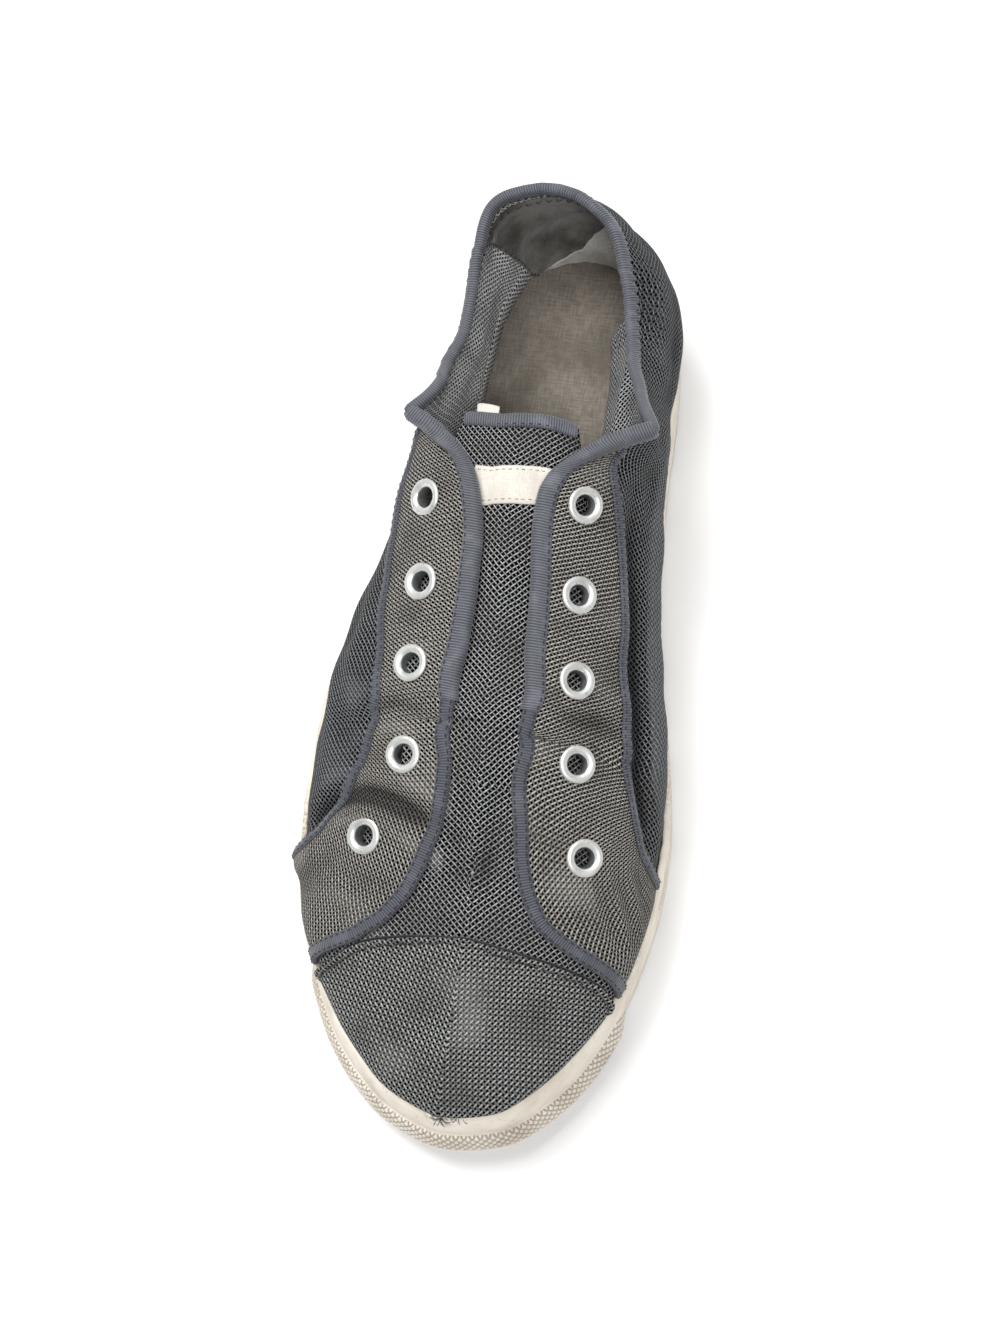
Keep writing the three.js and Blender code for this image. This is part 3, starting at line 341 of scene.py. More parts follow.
throat_edge = {side: smooth_rows(rows) for side, rows in THROAT_EDGE.items()}
collar_edge = {side: smooth_rows(rows) for side, rows in COLLAR_EDGE.items()}
wall_shape = {side: smooth_rows(rows) for side, rows in WALL_SHAPE.items()}


def by_side(w, curves):
    station = np.abs(w)
    return np.where((w >= 0)[..., None], curves[INNER](station), curves[OUTER](station))


def top_point(w):
    station = np.abs(w)[..., None]
    edge = np.where(station <= CORNER, by_side(w, throat_edge), by_side(w, collar_edge))
    return shares_to_points(np.where(station <= THROAT_BASE, spine(np.abs(w)), edge))


def spread(w, height):
    """Stations and heights as arrays of one shape."""
    return np.broadcast_arrays(np.asarray(w, float), np.asarray(height, float))


def smooth_point(w, height):
    """Outer surface of the upper, before any wrinkle, rounded where its two sides meet at the heel."""
    w, height = spread(w, height)
    points = plain_point(w, height)
    rear = np.abs(w) > HEEL_ROUND[0]
    if not rear.any():
        return points
    middle, level = w[rear], height[rear]
    blur = HEEL_BLUR * ramp(*HEEL_ROUND, np.abs(middle))
    points[rear] = sum(
        weight * plain_point(np.mod(middle + shift * blur + BACK, LOOP) - BACK, level)
        for shift, weight in HEEL_WEIGHTS
    )
    return points


def plain_point(w, height):
    """Surface of one side: a cubic curve from the foxing to the top line."""
    inside = upper_foot(w, np.clip(height + 1, 0, 1))
    foot = upper_foot(w, np.ones(w.shape))
    top = top_point(w)
    rise, swell, reach, drop = np.moveaxis(by_side(w, wall_shape), -1, 0)
    climb = top[..., 2] - foot[..., 2]
    outward = outline_point(w, np.zeros(w.shape)) - outline_point(w, np.ones(w.shape))
    width = width_at(foot[..., 1] / LENGTH + 0.5)
    lower = foot.copy()
    lower[..., :2] += outward * (swell * width * 2)[..., None]
    lower[..., 2] = foot[..., 2] + rise * climb
    upper = mix(top, foot, reach[..., None])
    upper[..., 2] = top[..., 2] - drop * climb
    tilt = np.where(np.abs(w) < THROAT_BASE, SPINE_SLOPE, 0)
    upper[..., 2] += tilt * (upper[..., 1] - top[..., 1])
    h = np.clip(height, 0, 1)[..., None]
    rest = 1 - h
    above = foot * rest ** 3 + lower * 3 * rest ** 2 * h + upper * 3 * rest * h ** 2 + top * h ** 3
    return np.where(height[..., None] <= 0, inside, above)


def differences(w, height):
    """Change of the smooth surface over two small steps of the station, and of the height."""
    around = smooth_point(w + STEP, height) - smooth_point(w - STEP, height)
    above = np.minimum(1, height + STEP)
    return around, smooth_point(w, above) - smooth_point(w, above - 2 * STEP)


def surface_frame(w, height):
    """Unit vectors outwards and up the wall, and millimetres for a unit of height."""
    w, height = spread(w, height)
    # The stations of the cap meet at its top, where there is no slope
    level = np.where(np.abs(w) < CAP_END + 0.1, np.minimum(height, CAP_LEVEL), height)
    around, rise = differences(w, level)
    up = unit(rise)
    return unit(np.cross(around, up)), up, np.linalg.norm(rise, axis=-1) / (2 * STEP)


# Wrinkles: soft troughs and ridges in the cloth. Side, then places (station, height) along the
# fold, its width and its depth; a negative depth is a swelling
FOLDS = [
    (OUTER, [(6.06, 0.30), (6.27, 0.44), (6.36, 0.60), (6.20, 0.76), (5.88, 0.90)], 3.5, 2.6),
    (OUTER, [(5.35, 0.44), (5.20, 0.58), (5.25, 0.70)], 3.4, 0.8),
    (OUTER, [(7.45, 0.56), (7.62, 0.72), (7.55, 0.88)], 3.4, 1.5),
    (OUTER, [(8.85, 0.66), (8.75, 0.78), (8.80, 0.90)], 3.6, 0.6),
    (OUTER, [(9.85, 0.62), (9.80, 0.75), (9.75, 0.86)], 4.5, 0.5),
    (OUTER, [(5.46, 0.02), (5.50, 0.14), (5.60, 0.24)], 4.5, -2.0),
    (OUTER, [(7.40, 0.42), (8.30, 0.30), (9.60, 0.32), (10.9, 0.40)], 4.5, 1.1),
    (OUTER, [(6.60, 0.20), (7.60, 0.16), (8.60, 0.12), (10.2, 0.10)], 5.0, 0.7),
    (OUTER, [(12.0, 0.55), (12.9, 0.40), (13.9, 0.36)], 5.0, 1.2),
    (OUTER, [(12.2, 1.00), (12.9, 1.00), (13.6, 1.00), (14.3, 1.00)], 16.0, -3.4),
    (OUTER, [(14.6, 0.30), (15.4, 0.45), (16.1, 0.50)], 5.0, 0.9),
    (INNER, [(7.75, 0.52), (7.82, 0.68), (7.70, 0.86)], 3.8, 1.1),
    (INNER, [(8.85, 0.60), (8.80, 0.72), (8.85, 0.86)], 4.2, 0.5),
    (INNER, [(6.60, 0.42), (6.55, 0.58), (6.50, 0.74)], 3.8, 0.9),
    (INNER, [(4.95, 0.28), (5.35, 0.42), (5.70, 0.50)], 2.0, 1.0),
    (INNER, [(5.15, 0.20), (5.60, 0.34), (5.95, 0.44)], 1.9, 1.0),
    (INNER, [(5.40, 0.12), (5.80, 0.25), (6.05, 0.33)], 1.9, 0.8),
    (INNER, [(6.55, 0.26), (7.20, 0.34), (8.40, 0.42), (9.60, 0.46), (10.9, 0.54)], 3.4, 1.9),
    (INNER, [(6.90, 0.12), (8.00, 0.20), (9.20, 0.22), (10.6, 0.24), (12.2, 0.26)], 6.5, -2.6),
    (INNER, [(12.4, 0.34), (13.4, 0.44), (14.6, 0.40)], 5.0, 1.4),
    (INNER, [(15.0, 0.62), (15.8, 0.50), (16.5, 0.48)], 5.0, 0.9),
    (OUTER, [(7.35, 0.955), (6.60, 0.955), (5.80, 0.950), (5.10, 0.955)], 3.0, 1.5),
    (INNER, [(7.20, 0.965), (6.40, 0.960), (5.60, 0.965), (5.00, 0.975)], 3.2, 1.2),
    (INNER, [(7.20, 0.915), (6.50, 0.905), (5.80, 0.895)], 3.0, 0.6),
    (OUTER, [(3.60, 0.50), (2.60, 0.62), (1.40, 0.66)], 7.0, 0.8),
    (INNER, [(3.70, 0.45), (2.60, 0.50), (1.60, 0.46)], 7.0, 0.8),
]
# Slow unevenness of the worn cloth: wavelengths in millimetres and height of the waves
WAVE_LENGTHS = (23, 31, 41, 17, 52)
WAVE_HEIGHT = 0.16
# Short pleats on the inner heel wall, just under the collar
PLEAT_MIDDLE = (13.9, 0.84)
PLEAT_REACH = (0.75, 0.16)
PLEAT_PITCH = 3.1
PLEAT_HEIGHT = 0.8
FOLD_STEP_SHARE = 0.45
FOLD_STEPS_LEAST = 14
FOLD_ENDS = (0.08, 0.92)
# The ridge beside each trough: its share of the depth, then its place and width in fold widths
RIDGE_SHARE, RIDGE_PLACE, RIDGE_WIDTH = 0.32, 1.9, 0.8
# Heights over which the relief grows above the foxing, and the share of it left down to a level
HELD = (0.0, 0.1)
TUCKED_LEVEL, TUCKED_SHARE = -0.3, 0.25


def fold_lines():
    """Points along each fold, its width and its depth at each point."""
    lines = []
    for side, places, width, depth in FOLDS:
        places = np.array(places, float)
        curve = smooth_rows(np.column_stack([np.arange(len(places)), places]))
        station, height = curve(np.linspace(0, len(places) - 1, FOLD_STEPS_LEAST)).T
        length = np.linalg.norm(np.diff(smooth_point(side * station, height), axis=0), axis=1).sum()
        steps = max(FOLD_STEPS_LEAST, int(length / (FOLD_STEP_SHARE * width)))
        station, height = curve(np.linspace(0, len(places) - 1, steps)).T
        ends = np.sin(np.pi * np.linspace(*FOLD_ENDS, steps)) ** 0.6
        lines.append((smooth_point(side * station, height), width, depth * ends))
    return lines


fold_paths = fold_lines()


def waves(points):
    total = np.zeros(points.shape[:-1])
    for index, length in enumerate(WAVE_LENGTHS):
        turn = 1 + 2.4 * index
        heading = np.array([math.cos(turn), math.sin(turn), 0.6 * math.sin(3 * turn)])
        total += np.sin(points @ heading * (2 * math.pi / length) + 1.7 * index)
    return total * WAVE_HEIGHT


def relief(points, w, height):
    """How far the worn cloth stands out from the smooth last, by its place on the last."""
    total = waves(points)
    for path, width, depth in fold_paths:
        away = np.linalg.norm(points[..., None, :] - path, axis=-1)
        nearest = np.argmin(away, axis=-1)
        near = np.take_along_axis(away, nearest[..., None], axis=-1)[..., 0] / width
        trough = np.exp(-near ** 2) - RIDGE_SHARE * np.exp(-((near - RIDGE_PLACE) / RIDGE_WIDTH) ** 2)
        total -= depth[nearest] * trough
    pleat = np.exp(-((w - PLEAT_MIDDLE[0]) / PLEAT_REACH[0]) ** 4
                   - ((height - PLEAT_MIDDLE[1]) / PLEAT_REACH[1]) ** 4)
    total += PLEAT_HEIGHT * pleat * np.sin(points[..., 1] * (2 * math.pi / PLEAT_PITCH))
    return total * np.maximum(ramp(*HELD, height), TUCKED_SHARE * (height > TUCKED_LEVEL))


def on_upper(w, height, offset):
    """Points on the worn upper, an offset outside its cloth."""
    w, height = spread(w, height)
    points = smooth_point(w, height)
    outwards, _, _ = surface_frame(w, height)
    lift = relief(points, w, height) + offset
    return points + outwards * lift[..., None]


def with_relief(cloth, w, height):
    """Cloth places with the wrinkle's height as their third number."""
    lift = relief(smooth_point(w, height), w, height)
    return np.concatenate([cloth, lift[..., None]], axis=-1)


def below_edge(w, distance):
    """Height that lies a distance below the top edge."""
    return 1 - distance / surface_frame(w, 1.0)[2]


# Lines on the upper: place, station, height. 0 is the top corner, 1 the base of the throat and 2
# the foxing
THROAT_TOP = 11.52
THROAT_LOW = 7.8
BINDING_WIDTH = 4.5
LINE_END = 2.0
EYESTAY_FRONT = {
    INNER: [
        [1.04, 7.60, 0.945], [1.08, 7.50, 0.912], [1.13, 7.40, 0.870], [1.30, 6.80, 0.872],
        [1.45, 6.20, 0.850], [1.58, 5.70, 0.825], [1.70, 5.25, 0.770], [1.80, 4.90, 0.680],
        [1.88, 4.70, 0.520], [1.95, 4.55, 0.260], [2.00, 4.42, 0.020],
    ],
    OUTER: [
        [1.04, 7.60, 0.944], [1.08, 7.50, 0.911], [1.13, 7.40, 0.872], [1.30, 6.85, 0.880],
        [1.45, 6.30, 0.875], [1.55, 5.90, 0.855], [1.67, 5.40, 0.810], [1.79, 4.90, 0.730],
        [1.88, 4.55, 0.620], [1.95, 4.26, 0.400], [2.00, 4.10, 0.020],
    ],
}
EYESTAY_REAR = {
    INNER: [
        [0.00, 11.42, 0.900], [0.08, 11.20, 0.830], [0.20, 10.80, 0.700], [0.30, 10.40, 0.620],
        [0.47, 9.70, 0.570], [0.63, 9.10, 0.550], [0.83, 8.40, 0.540], [1.00, 7.80, 0.505],
        [1.20, 7.15, 0.425], [1.45, 6.65, 0.360], [1.72, 6.30, 0.280], [1.90, 6.12, 0.150],
        [2.00, 6.05, 0.020],
    ],
    OUTER: [
        [0.00, 11.42, 0.870], [0.06, 11.22, 0.730], [0.15, 10.95, 0.620], [0.30, 10.40, 0.570],
        [0.45, 9.90, 0.560], [0.62, 9.25, 0.580], [0.77, 8.70, 0.610], [0.90, 8.20, 0.645],
        [1.00, 7.85, 0.655], [1.15, 7.45, 0.605], [1.30, 7.05, 0.575], [1.50, 6.70, 0.540],
        [1.65, 6.40, 0.480], [1.80, 6.08, 0.400], [1.90, 5.80, 0.290], [1.96, 5.62, 0.160],
        [2.00, 5.54, 0.020],
    ],
}


def front_line(side):
    start = [1, THROAT_LOW, float(below_edge(side * THROAT_LOW, BINDING_WIDTH / 2))]
    lower = smooth_rows([start, *EYESTAY_FRONT[side]])

    def line(at):
        at = np.asarray(at, float)
        station = mix(THROAT_TOP, THROAT_LOW, np.clip(at, 0, 1))
        upper = np.stack([station, below_edge(side * station, BINDING_WIDTH / 2)], axis=-1)
        return np.where((at > 1)[..., None], lower(at), upper)

    return line


FRONT_LINE = {side: front_line(side) for side in (INNER, OUTER)}
REAR_LINE = {side: smooth_rows(EYESTAY_REAR[side]) for side in (INNER, OUTER)}


def beside(side, line, at, distance):
    """Signed station and height beside a line, a distance away from the throat over the cloth."""
    turns = 4
    at = np.asarray(at, float)
    ahead, behind = line(np.minimum(at + STEP, LINE_END)), line(np.maximum(at - STEP, 0))
    heading = smooth_point(side * ahead[..., 0], ahead[..., 1])
    heading = heading - smooth_point(side * behind[..., 0], behind[..., 1])
    place = line(at)
    w, height = side * place[..., 0], place[..., 1].copy()
    for _ in range(turns):
        outwards, _, _ = surface_frame(w, height)
        move = unit(np.cross(outwards, heading)) * (side * np.asarray(distance) / turns)[..., None]
        over_w, over_h = (change / (2 * STEP) for change in differences(w, height))
        a, b, c = ((p * q).sum(-1) for p, q in ((over_w, over_w), (over_w, over_h), (over_h, over_h)))
        p, q = (move * over_w).sum(-1), (move * over_h).sum(-1)
        w = w + (c * p - b * q) / (a * c - b * b)
        height = np.minimum(height + (a * q - b * p) / (a * c - b * b), 1)
    return w, height


def path_lengths(points):
    """Length along a path up to each of its points, or along each row of a grid."""
    steps = np.linalg.norm(np.diff(points, axis=-2), axis=-1)
    return np.concatenate([np.zeros((*steps.shape[:-1], 1)), np.cumsum(steps, axis=-1)], axis=-1)


def even_places(points, count):
    """Shares from 0 to 1 that divide a path of points into equal lengths."""
    lengths = path_lengths(points)
    return np.interp(np.linspace(0, lengths[-1], count), lengths, np.linspace(0, 1, len(points)))


def at_index(path, index):
    """Points of a path at fractions between its own points."""
    own = np.arange(len(path))
    return np.stack([np.interp(index, own, path[:, axis]) for axis in range(3)], axis=-1)


def line_places(side, line, start, end, pitch):
    """Places along a line, a pitch apart over the cloth."""
    place = line(np.linspace(start, end, FINE))
    points = smooth_point(side * place[:, 0], place[:, 1])
    length = np.linalg.norm(np.diff(points, axis=0), axis=1).sum()
    return mix(start, end, even_places(points, max(2, int(length / pitch) + 1)))


# Meshes

def grid_faces(rows, columns, closed_rows=False, closed_columns=False):
    row = np.arange(rows if closed_rows else rows - 1)
    column = np.arange(columns if closed_columns else columns - 1)
    r, c = (part.ravel() for part in np.meshgrid(row, column, indexing="ij"))
    r2, c2 = (r + 1) % rows, (c + 1) % columns
    return np.stack([r * columns + c, r2 * columns + c, r2 * columns + c2, r * columns + c2], axis=1)


def make_object(name, points, faces, cloth=None, materials=(), face_materials=None):
    """A smooth mesh object. cloth gives each corner its place in the flat cloth, in millimetres."""
    mesh = bpy.data.meshes.new(name)
    mesh.from_pydata((np.asarray(points) * MM).tolist(), [], [list(map(int, face)) for face in faces])
    if cloth is not None:
        cloth = np.asarray(cloth, float)
        if cloth.shape[-1] == 2:
            cloth = np.column_stack([cloth, np.zeros(len(cloth))])
        layer = mesh.attributes.new("cloth", "FLOAT_VECTOR", "POINT")
        layer.data.foreach_set("vector", cloth.ravel())
    for material in materials:
        mesh.materials.append(material)
    if face_materials is not None:
        mesh.polygons.foreach_set("material_index", np.asarray(face_materials, dtype=np.int32))
    mesh.polygons.foreach_set("use_smooth", [True] * len(mesh.polygons))
    mesh.update()
    piece = bpy.data.objects.new(name, mesh)
    bpy.context.scene.collection.objects.link(piece)
    return piece


def clean(piece, distance=0.01):
    """Joins corners that meet and turns all faces outwards."""
    work = bmesh.new()
    work.from_mesh(piece.data)
    bmesh.ops.remove_doubles(work, verts=work.verts, dist=distance * MM)
    bmesh.ops.dissolve_degenerate(work, edges=work.edges, dist=distance * MM / 4)
    bmesh.ops.recalc_face_normals(work, faces=work.faces)
    work.to_mesh(piece.data)
    work.free()
    return piece


def dress(piece, slot, *nodes):
    """Settles what every piece says: its body and the nodes it stands for, which it hides. Its material
    slot is not used.
    """
    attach(piece, "root")
    if nodes:
        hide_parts(*nodes)
    return piece


def across_places(grid):
    """Length along each row of a grid, counted from its middle column."""
    lengths = path_lengths(grid)
    middle = grid.shape[1] // 2
    return lengths - lengths[:, middle:middle + 1]


def flat_places(grid):
    """Place of each corner of a grid in the flat cloth: along its rows and across them."""
    across = across_places(grid)
    along = path_lengths(grid[:, grid.shape[1] // 2])
    return np.stack([across, np.broadcast_to(along[:, None], across.shape)], axis=-1)


def sheet_object(name, outer, inner, cloth, material):
    """A sheet of cloth between two grids, joined round its border."""
    rows, columns = outer.shape[:2]
    count = rows * columns
    faces = grid_faces(rows, columns)
    border = list(range(columns)) + [r * columns + columns - 1 for r in range(1, rows)]
    border += [(rows - 1) * columns + c for c in range(columns - 2, -1, -1)]
    border += [r * columns for r in range(rows - 2, 0, -1)]
    border = np.array(border)
    after = np.roll(border, -1)
    rim = np.stack([border, after, after + count, border + count], axis=1)
    points = np.vstack([outer.reshape(-1, 3), inner.reshape(-1, 3)])
    places = np.tile(cloth.reshape(-1, cloth.shape[-1]), (2, 1))
    return clean(make_object(
        name, points, np.vstack([faces, faces[:, ::-1] + count, rim]), places, [material],
    ))


def tube_object(name, rings, material, closed=False, cloth=None):
    """A closed form through rings of points, capped at its ends unless it runs round."""
    count, sides = rings.shape[:2]
    faces = [list(face) for face in grid_faces(count, sides, closed, True)]
    if not closed:
        faces += [list(range(sides - 1, -1, -1)), [(count - 1) * sides + s for s in range(sides)]]
    if cloth is None:
        cloth = flat_places(rings)
    cloth = cloth.reshape(-1, cloth.shape[-1])
    return clean(make_object(name, rings.reshape(-1, 3), faces, cloth, [material]))


def strip_rings(side, line, places, section):
    """Rings of a tape on the cloth: section rows are distance across the line and lift."""
    section = np.array(section, float)
    at = np.broadcast_to(np.asarray(places)[:, None], (len(places), len(section)))
    w, height = beside(side, line, at, np.broadcast_to(section[:, 0], at.shape))
    return on_upper(w, height, np.broadcast_to(section[:, 1], at.shape))


# Materials

class Paint:
    """One procedural material, built from sockets that may be numbers or links."""

    def __init__(self, name, roughness, **sockets):
        self.material = bpy.data.materials.new(name)
        self.material.use_nodes = True
        self.tree = self.material.node_tree
        self.shader = self.tree.nodes["Principled BSDF"]
        self.shader.inputs["Roughness"].default_value = roughness
        for socket, value in sockets.items():
            self.shader.inputs[socket.replace("_", " ")].default_value = value

    def put(self, socket, value):
        if isinstance(value, bpy.types.NodeSocket):
            self.tree.links.new(value, socket)
        else:
            socket.default_value = value

    def node(self, kind, values=(), **settings):
        """A new node with its settings, and numbers or links for its first or named sockets."""
        node = self.tree.nodes.new("ShaderNode" + kind)
        for name, setting in settings.items():
            setattr(node, name, setting)
        for socket, value in values.items() if isinstance(values, dict) else enumerate(values):
            self.put(node.inputs[socket], value)
        return node

    def math(self, operation, *values):
        return self.node("Math", values, operation=operation).outputs[0]

    def between(self, value, low, high):
        """0 below low, 1 above high and smooth between them."""
        return self.node("MapRange", (value, low, high), interpolation_type="SMOOTHSTEP").outputs[0]

    def mix(self, share, first, second):
        values = {"Factor": share, "A": first, "B": second}
        return self.node("Mix", values, data_type="RGBA").outputs["Result"]

    def cover(self, colour, mask, strength, shade):
        """A colour with a shade laid over it where the mask says, at most to a strength."""
        return self.mix(self.math("MULTIPLY", mask, strength), colour, tone(*shade))

    def cloth(self):
        """Place in the flat cloth in millimetres, with the wrinkle's height."""
        return self.node("Attribute", attribute_name="cloth").outputs["Vector"]

    def place(self):
        """Place on the object in millimetres."""
        values = {0: self.node("TexCoord").outputs["Object"], "Scale": 1 / MM}
        return self.node("VectorMath", values, operation="SCALE").outputs[0]

    def split(self, vector):
        return self.node("SeparateXYZ", [vector]).outputs

    def noise(self, vector, size, detail=2.0, output="Fac"):
        """Noise with features of a size in the vector's own units."""
        values = {"Vector": vector, "Scale": 1 / size, "Detail": detail}
        return self.node("TexNoise", values).outputs[output]

    def shift(self, vector, size, reach):
        """Moves a vector by noise, to make a pattern uneven."""
        noise = self.noise(vector, size, 1.0, "Color")
        moved = self.node("VectorMath", [noise, (0.5,) * 3], operation="SUBTRACT").outputs[0]
        values = [moved, (reach * 2,) * 3, vector]
        return self.node("VectorMath", values, operation="MULTIPLY_ADD").outputs[0]

    def near(self, place, middle, reach):
        """1 at a place, fading to 0 a reach away."""
        away = self.node("VectorMath", [place, middle], operation="DISTANCE").outputs["Value"]
        return self.between(away, reach, 0.15 * reach)

    def bump(self, height, depth, strength=1.0):
        """Depth is the height of the relief in millimetres."""
        node = self.node("Bump", {"Strength": strength, "Distance": depth * MM, "Height": height})
        self.put(self.shader.inputs["Normal"], node.outputs[0])

    def colour(self, value):
        self.put(self.shader.inputs["Base Color"], value)


def tone(*channels):
    """A display colour from 0 to 255 as a linear one, by the sRGB curve."""
    return tuple(((c / 255 + 0.055) / 1.055) ** 2.4 if c > 10 else c / 3294.6 for c in channels) + (1,)


def darker(shade, share):
    return [channel * share for channel in shade]


# Nets, in millimetres: two sizes and reaches of their unevenness, then a fibre, worn patches and
# the depth of the relief. Last are the gloss of a strand and the shade of the dirt
WANDER_SIZE, WANDER_REACH = 9.0, 0.45
JITTER_SIZE, JITTER_REACH = 1.7, 0.14
FIBRE_SIZE = 0.7
WORN_SIZE = 14.0
NET_DEPTH = 0.45
NET_GLOSS = 0.45
SOIL_SHADE = (46, 43, 40)
# Heights of the wrinkles between which painted shade darkens the creases, and a painted highlight pales
# the ridges
SHADED_HEIGHTS = (-0.25, -2.1)
RIDGE_HIGHLIGHT_HEIGHTS = (0.15, 1.2)


def net(paint, vector, pitch, turn, mirrored, strand):
    """Crossing strands: whether the first kind is on top, how high it lies there, and the height."""
    across, along, _ = paint.split(vector)
    if mirrored:
        across = paint.math("ABSOLUTE", across)
    angle = math.radians(turn)
    cosine, sine = math.pi / pitch * math.cos(angle), math.pi / pitch * math.sin(angle)
    p = paint.math("MULTIPLY_ADD", across, cosine, paint.math("MULTIPLY", along, sine))
    q = paint.math("MULTIPLY_ADD", along, cosine, paint.math("MULTIPLY", across, -sine))
    wave_p, wave_q = paint.math("COSINE", p), paint.math("COSINE", q)
    crossing = paint.math("MULTIPLY", wave_p, wave_q)
    heights, rises = [], []
    for wave, turn_over in ((wave_q, 0.5), (wave_p, -0.5)):
        near = paint.between(paint.math("MULTIPLY", wave, wave), *strand)
        rise = paint.math("MULTIPLY_ADD", crossing, turn_over, 0.5)
        heights.append(paint.math("MULTIPLY", near, paint.math("MULTIPLY_ADD", rise, 0.6, 0.4)))
        rises.append(rise)
    first = paint.math("GREATER_THAN", *heights)
    step = paint.math("SUBTRACT", rises[0], rises[1])
    rise = paint.math("MULTIPLY_ADD", first, step, rises[1])
    return first, rise, paint.math("MAXIMUM", *heights)


def woven(name, light, middle, dark, gap, pitch, turn=45, mirrored=False, strand=(0.4, 0.75),
          crossing=(-0.3, 0.6)):
    """An open net: pale strands crossing duller ones, with dark holes between them."""
    paint = Paint(name, 0.6, Specular_IOR_Level=0.3)
    cloth = paint.cloth()
    wandering = paint.shift(paint.shift(cloth, WANDER_SIZE, WANDER_REACH), JITTER_SIZE, JITTER_REACH)
    first, rise, height = net(paint, wandering, pitch, turn, mirrored, strand)
    fibre = paint.noise(cloth, FIBRE_SIZE)
    worn = paint.noise(paint.place(), WORN_SIZE, detail=4.0)
    bright = paint.math("MULTIPLY", paint.between(rise, *crossing), paint.between(fibre, 0.15, 0.5))
    colour = paint.mix(bright, tone(*dark), paint.mix(first, tone(*middle), tone(*light)))
    covered = paint.between(height, 0.05, 0.45)
    colour = paint.mix(covered, tone(*gap), colour)
    paint.put(paint.shader.inputs["Specular IOR Level"], paint.math("MULTIPLY", covered, NET_GLOSS))
    colour = paint.cover(colour, paint.between(worn, 0.42, 0.72), strength=0.35, shade=SOIL_SHADE)
    # Painted shade in the creases and a painted highlight on the ridges, by the wrinkle's height
    lift = paint.split(cloth)[2]
    shaded, ridge_highlight = paint.between(lift, *SHADED_HEIGHTS), paint.between(lift, *RIDGE_HIGHLIGHT_HEIGHTS)
    colour = paint.cover(colour, shaded, strength=0.8, shade=darker(dark, 0.5))
    paint.colour(paint.cover(colour, ridge_highlight, strength=0.22, shade=light))
    paint.bump(paint.math("MULTIPLY_ADD", fibre, 0.12, height), NET_DEPTH)
    return paint.material


RIB_PITCH = 0.8
RIB_DEPTH = 0.16


def ribbed(name, base, light):
    """Ribbed tape: fine ribs across it, paler and fluffier where it is worn."""
    paint = Paint(name, 0.62, Sheen_Weight=0.2, Specular_IOR_Level=0.4)
    cloth = paint.cloth()
    along = paint.split(paint.shift(cloth, size=3.0, reach=0.12))[1]
    rib = paint.math("SINE", paint.math("MULTIPLY", along, 2 * math.pi / RIB_PITCH))
    rib = paint.math("MULTIPLY_ADD", rib, 0.5, 0.5)
    worn = paint.between(paint.noise(paint.place(), size=7.0, detail=4.0), 0.48, 0.7)
    fluff = paint.noise(cloth, size=0.5, detail=3.0)
    colour = paint.cover(tone(*base), rib, strength=0.6, shade=light)
    colour = paint.cover(colour, worn, strength=0.4, shade=light)
    paint.colour(paint.cover(colour, paint.between(fluff, 0.5, 0.8), strength=0.3, shade=light))
    paint.bump(paint.math("MULTIPLY_ADD", fluff, 0.8, rib), RIB_DEPTH)
    return paint.material


# Stains on the rubber: middle in millimetres, reach and strength
STAINS = [
    ((-50, -66, 20), 20, 0.8), ((-38, -104, 16), 14, 0.6), ((-20, -138, 22), 9, 0.5),
    ((44, -84, 24), 15, 0.6), ((22, -134, 14), 12, 0.45), ((54, -30, 20), 22, 0.45),
    ((-48, 70, 14), 24, 0.5), ((38, 110, 12), 20, 0.5), ((-9, 141, 5), 24, 0.3),
]
SCUFF_PLACE = (4.5, -139.5, 30.5)
SCUFF_REACH = 6.5
RUBBER_PALE, RUBBER_BEIGE = (238, 230, 216), (214, 203, 186)
DIRT_SHADE, STAIN_SHADE, CUT_SHADE = (142, 124, 104), (122, 97, 74), (112, 96, 80)
SPECK_SHADE, SCUFF_SHADE = (92, 80, 68), (48, 44, 42)
# Dirt grows from the first height above the ground down to the second
DIRT_HEIGHTS = (11.0, 1.0)


def rubber(name, pattern=None):
    """White rubber gone beige, with brown dirt in its low places and dark scuffs."""
    paint = Paint(name, 0.5, Specular_IOR_Level=0.4)
    place = paint.place()
    cloudy = paint.noise(place, size=13.0, detail=5.0)
    fine = paint.noise(place, size=1.1, detail=3.0)
    colour = paint.mix(paint.between(cloudy, 0.35, 0.75), tone(*RUBBER_PALE), tone(*RUBBER_BEIGE))
    low = paint.between(paint.split(place)[2], *DIRT_HEIGHTS)
    low = paint.math("MULTIPLY", low, paint.between(cloudy, 0.4, 0.66))
    colour = paint.cover(colour, low, strength=0.42, shade=DIRT_SHADE)
    for middle, reach, strength in STAINS:
        mask = paint.math("MULTIPLY", paint.near(place, middle, reach), paint.between(fine, 0.3, 0.7))
        colour = paint.cover(colour, mask, strength, STAIN_SHADE)
    speck = paint.between(paint.noise(place, size=0.8), 0.66, 0.74)
    colour = paint.cover(colour, speck, strength=0.5, shade=SPECK_SHADE)
    rough = paint.between(paint.noise(place, size=1.6, detail=4.0), 0.42, 0.6)
    scuff = paint.math("MULTIPLY", paint.near(place, SCUFF_PLACE, SCUFF_REACH), rough)
    colour = paint.mix(scuff, colour, tone(*SCUFF_SHADE))
    if pattern is None:
        relief_height = paint.math("MULTIPLY_ADD", fine, 0.5, cloudy)
    else:
        cut = pattern(paint)
        colour = paint.cover(colour, paint.math("SUBTRACT", 1.0, cut), strength=0.7, shade=CUT_SHADE)
        relief_height = paint.math("MULTIPLY_ADD", cut, 1.5, fine)
    paint.colour(colour)
    paint.bump(relief_height, depth=0.3, strength=0.6)
    return paint.material


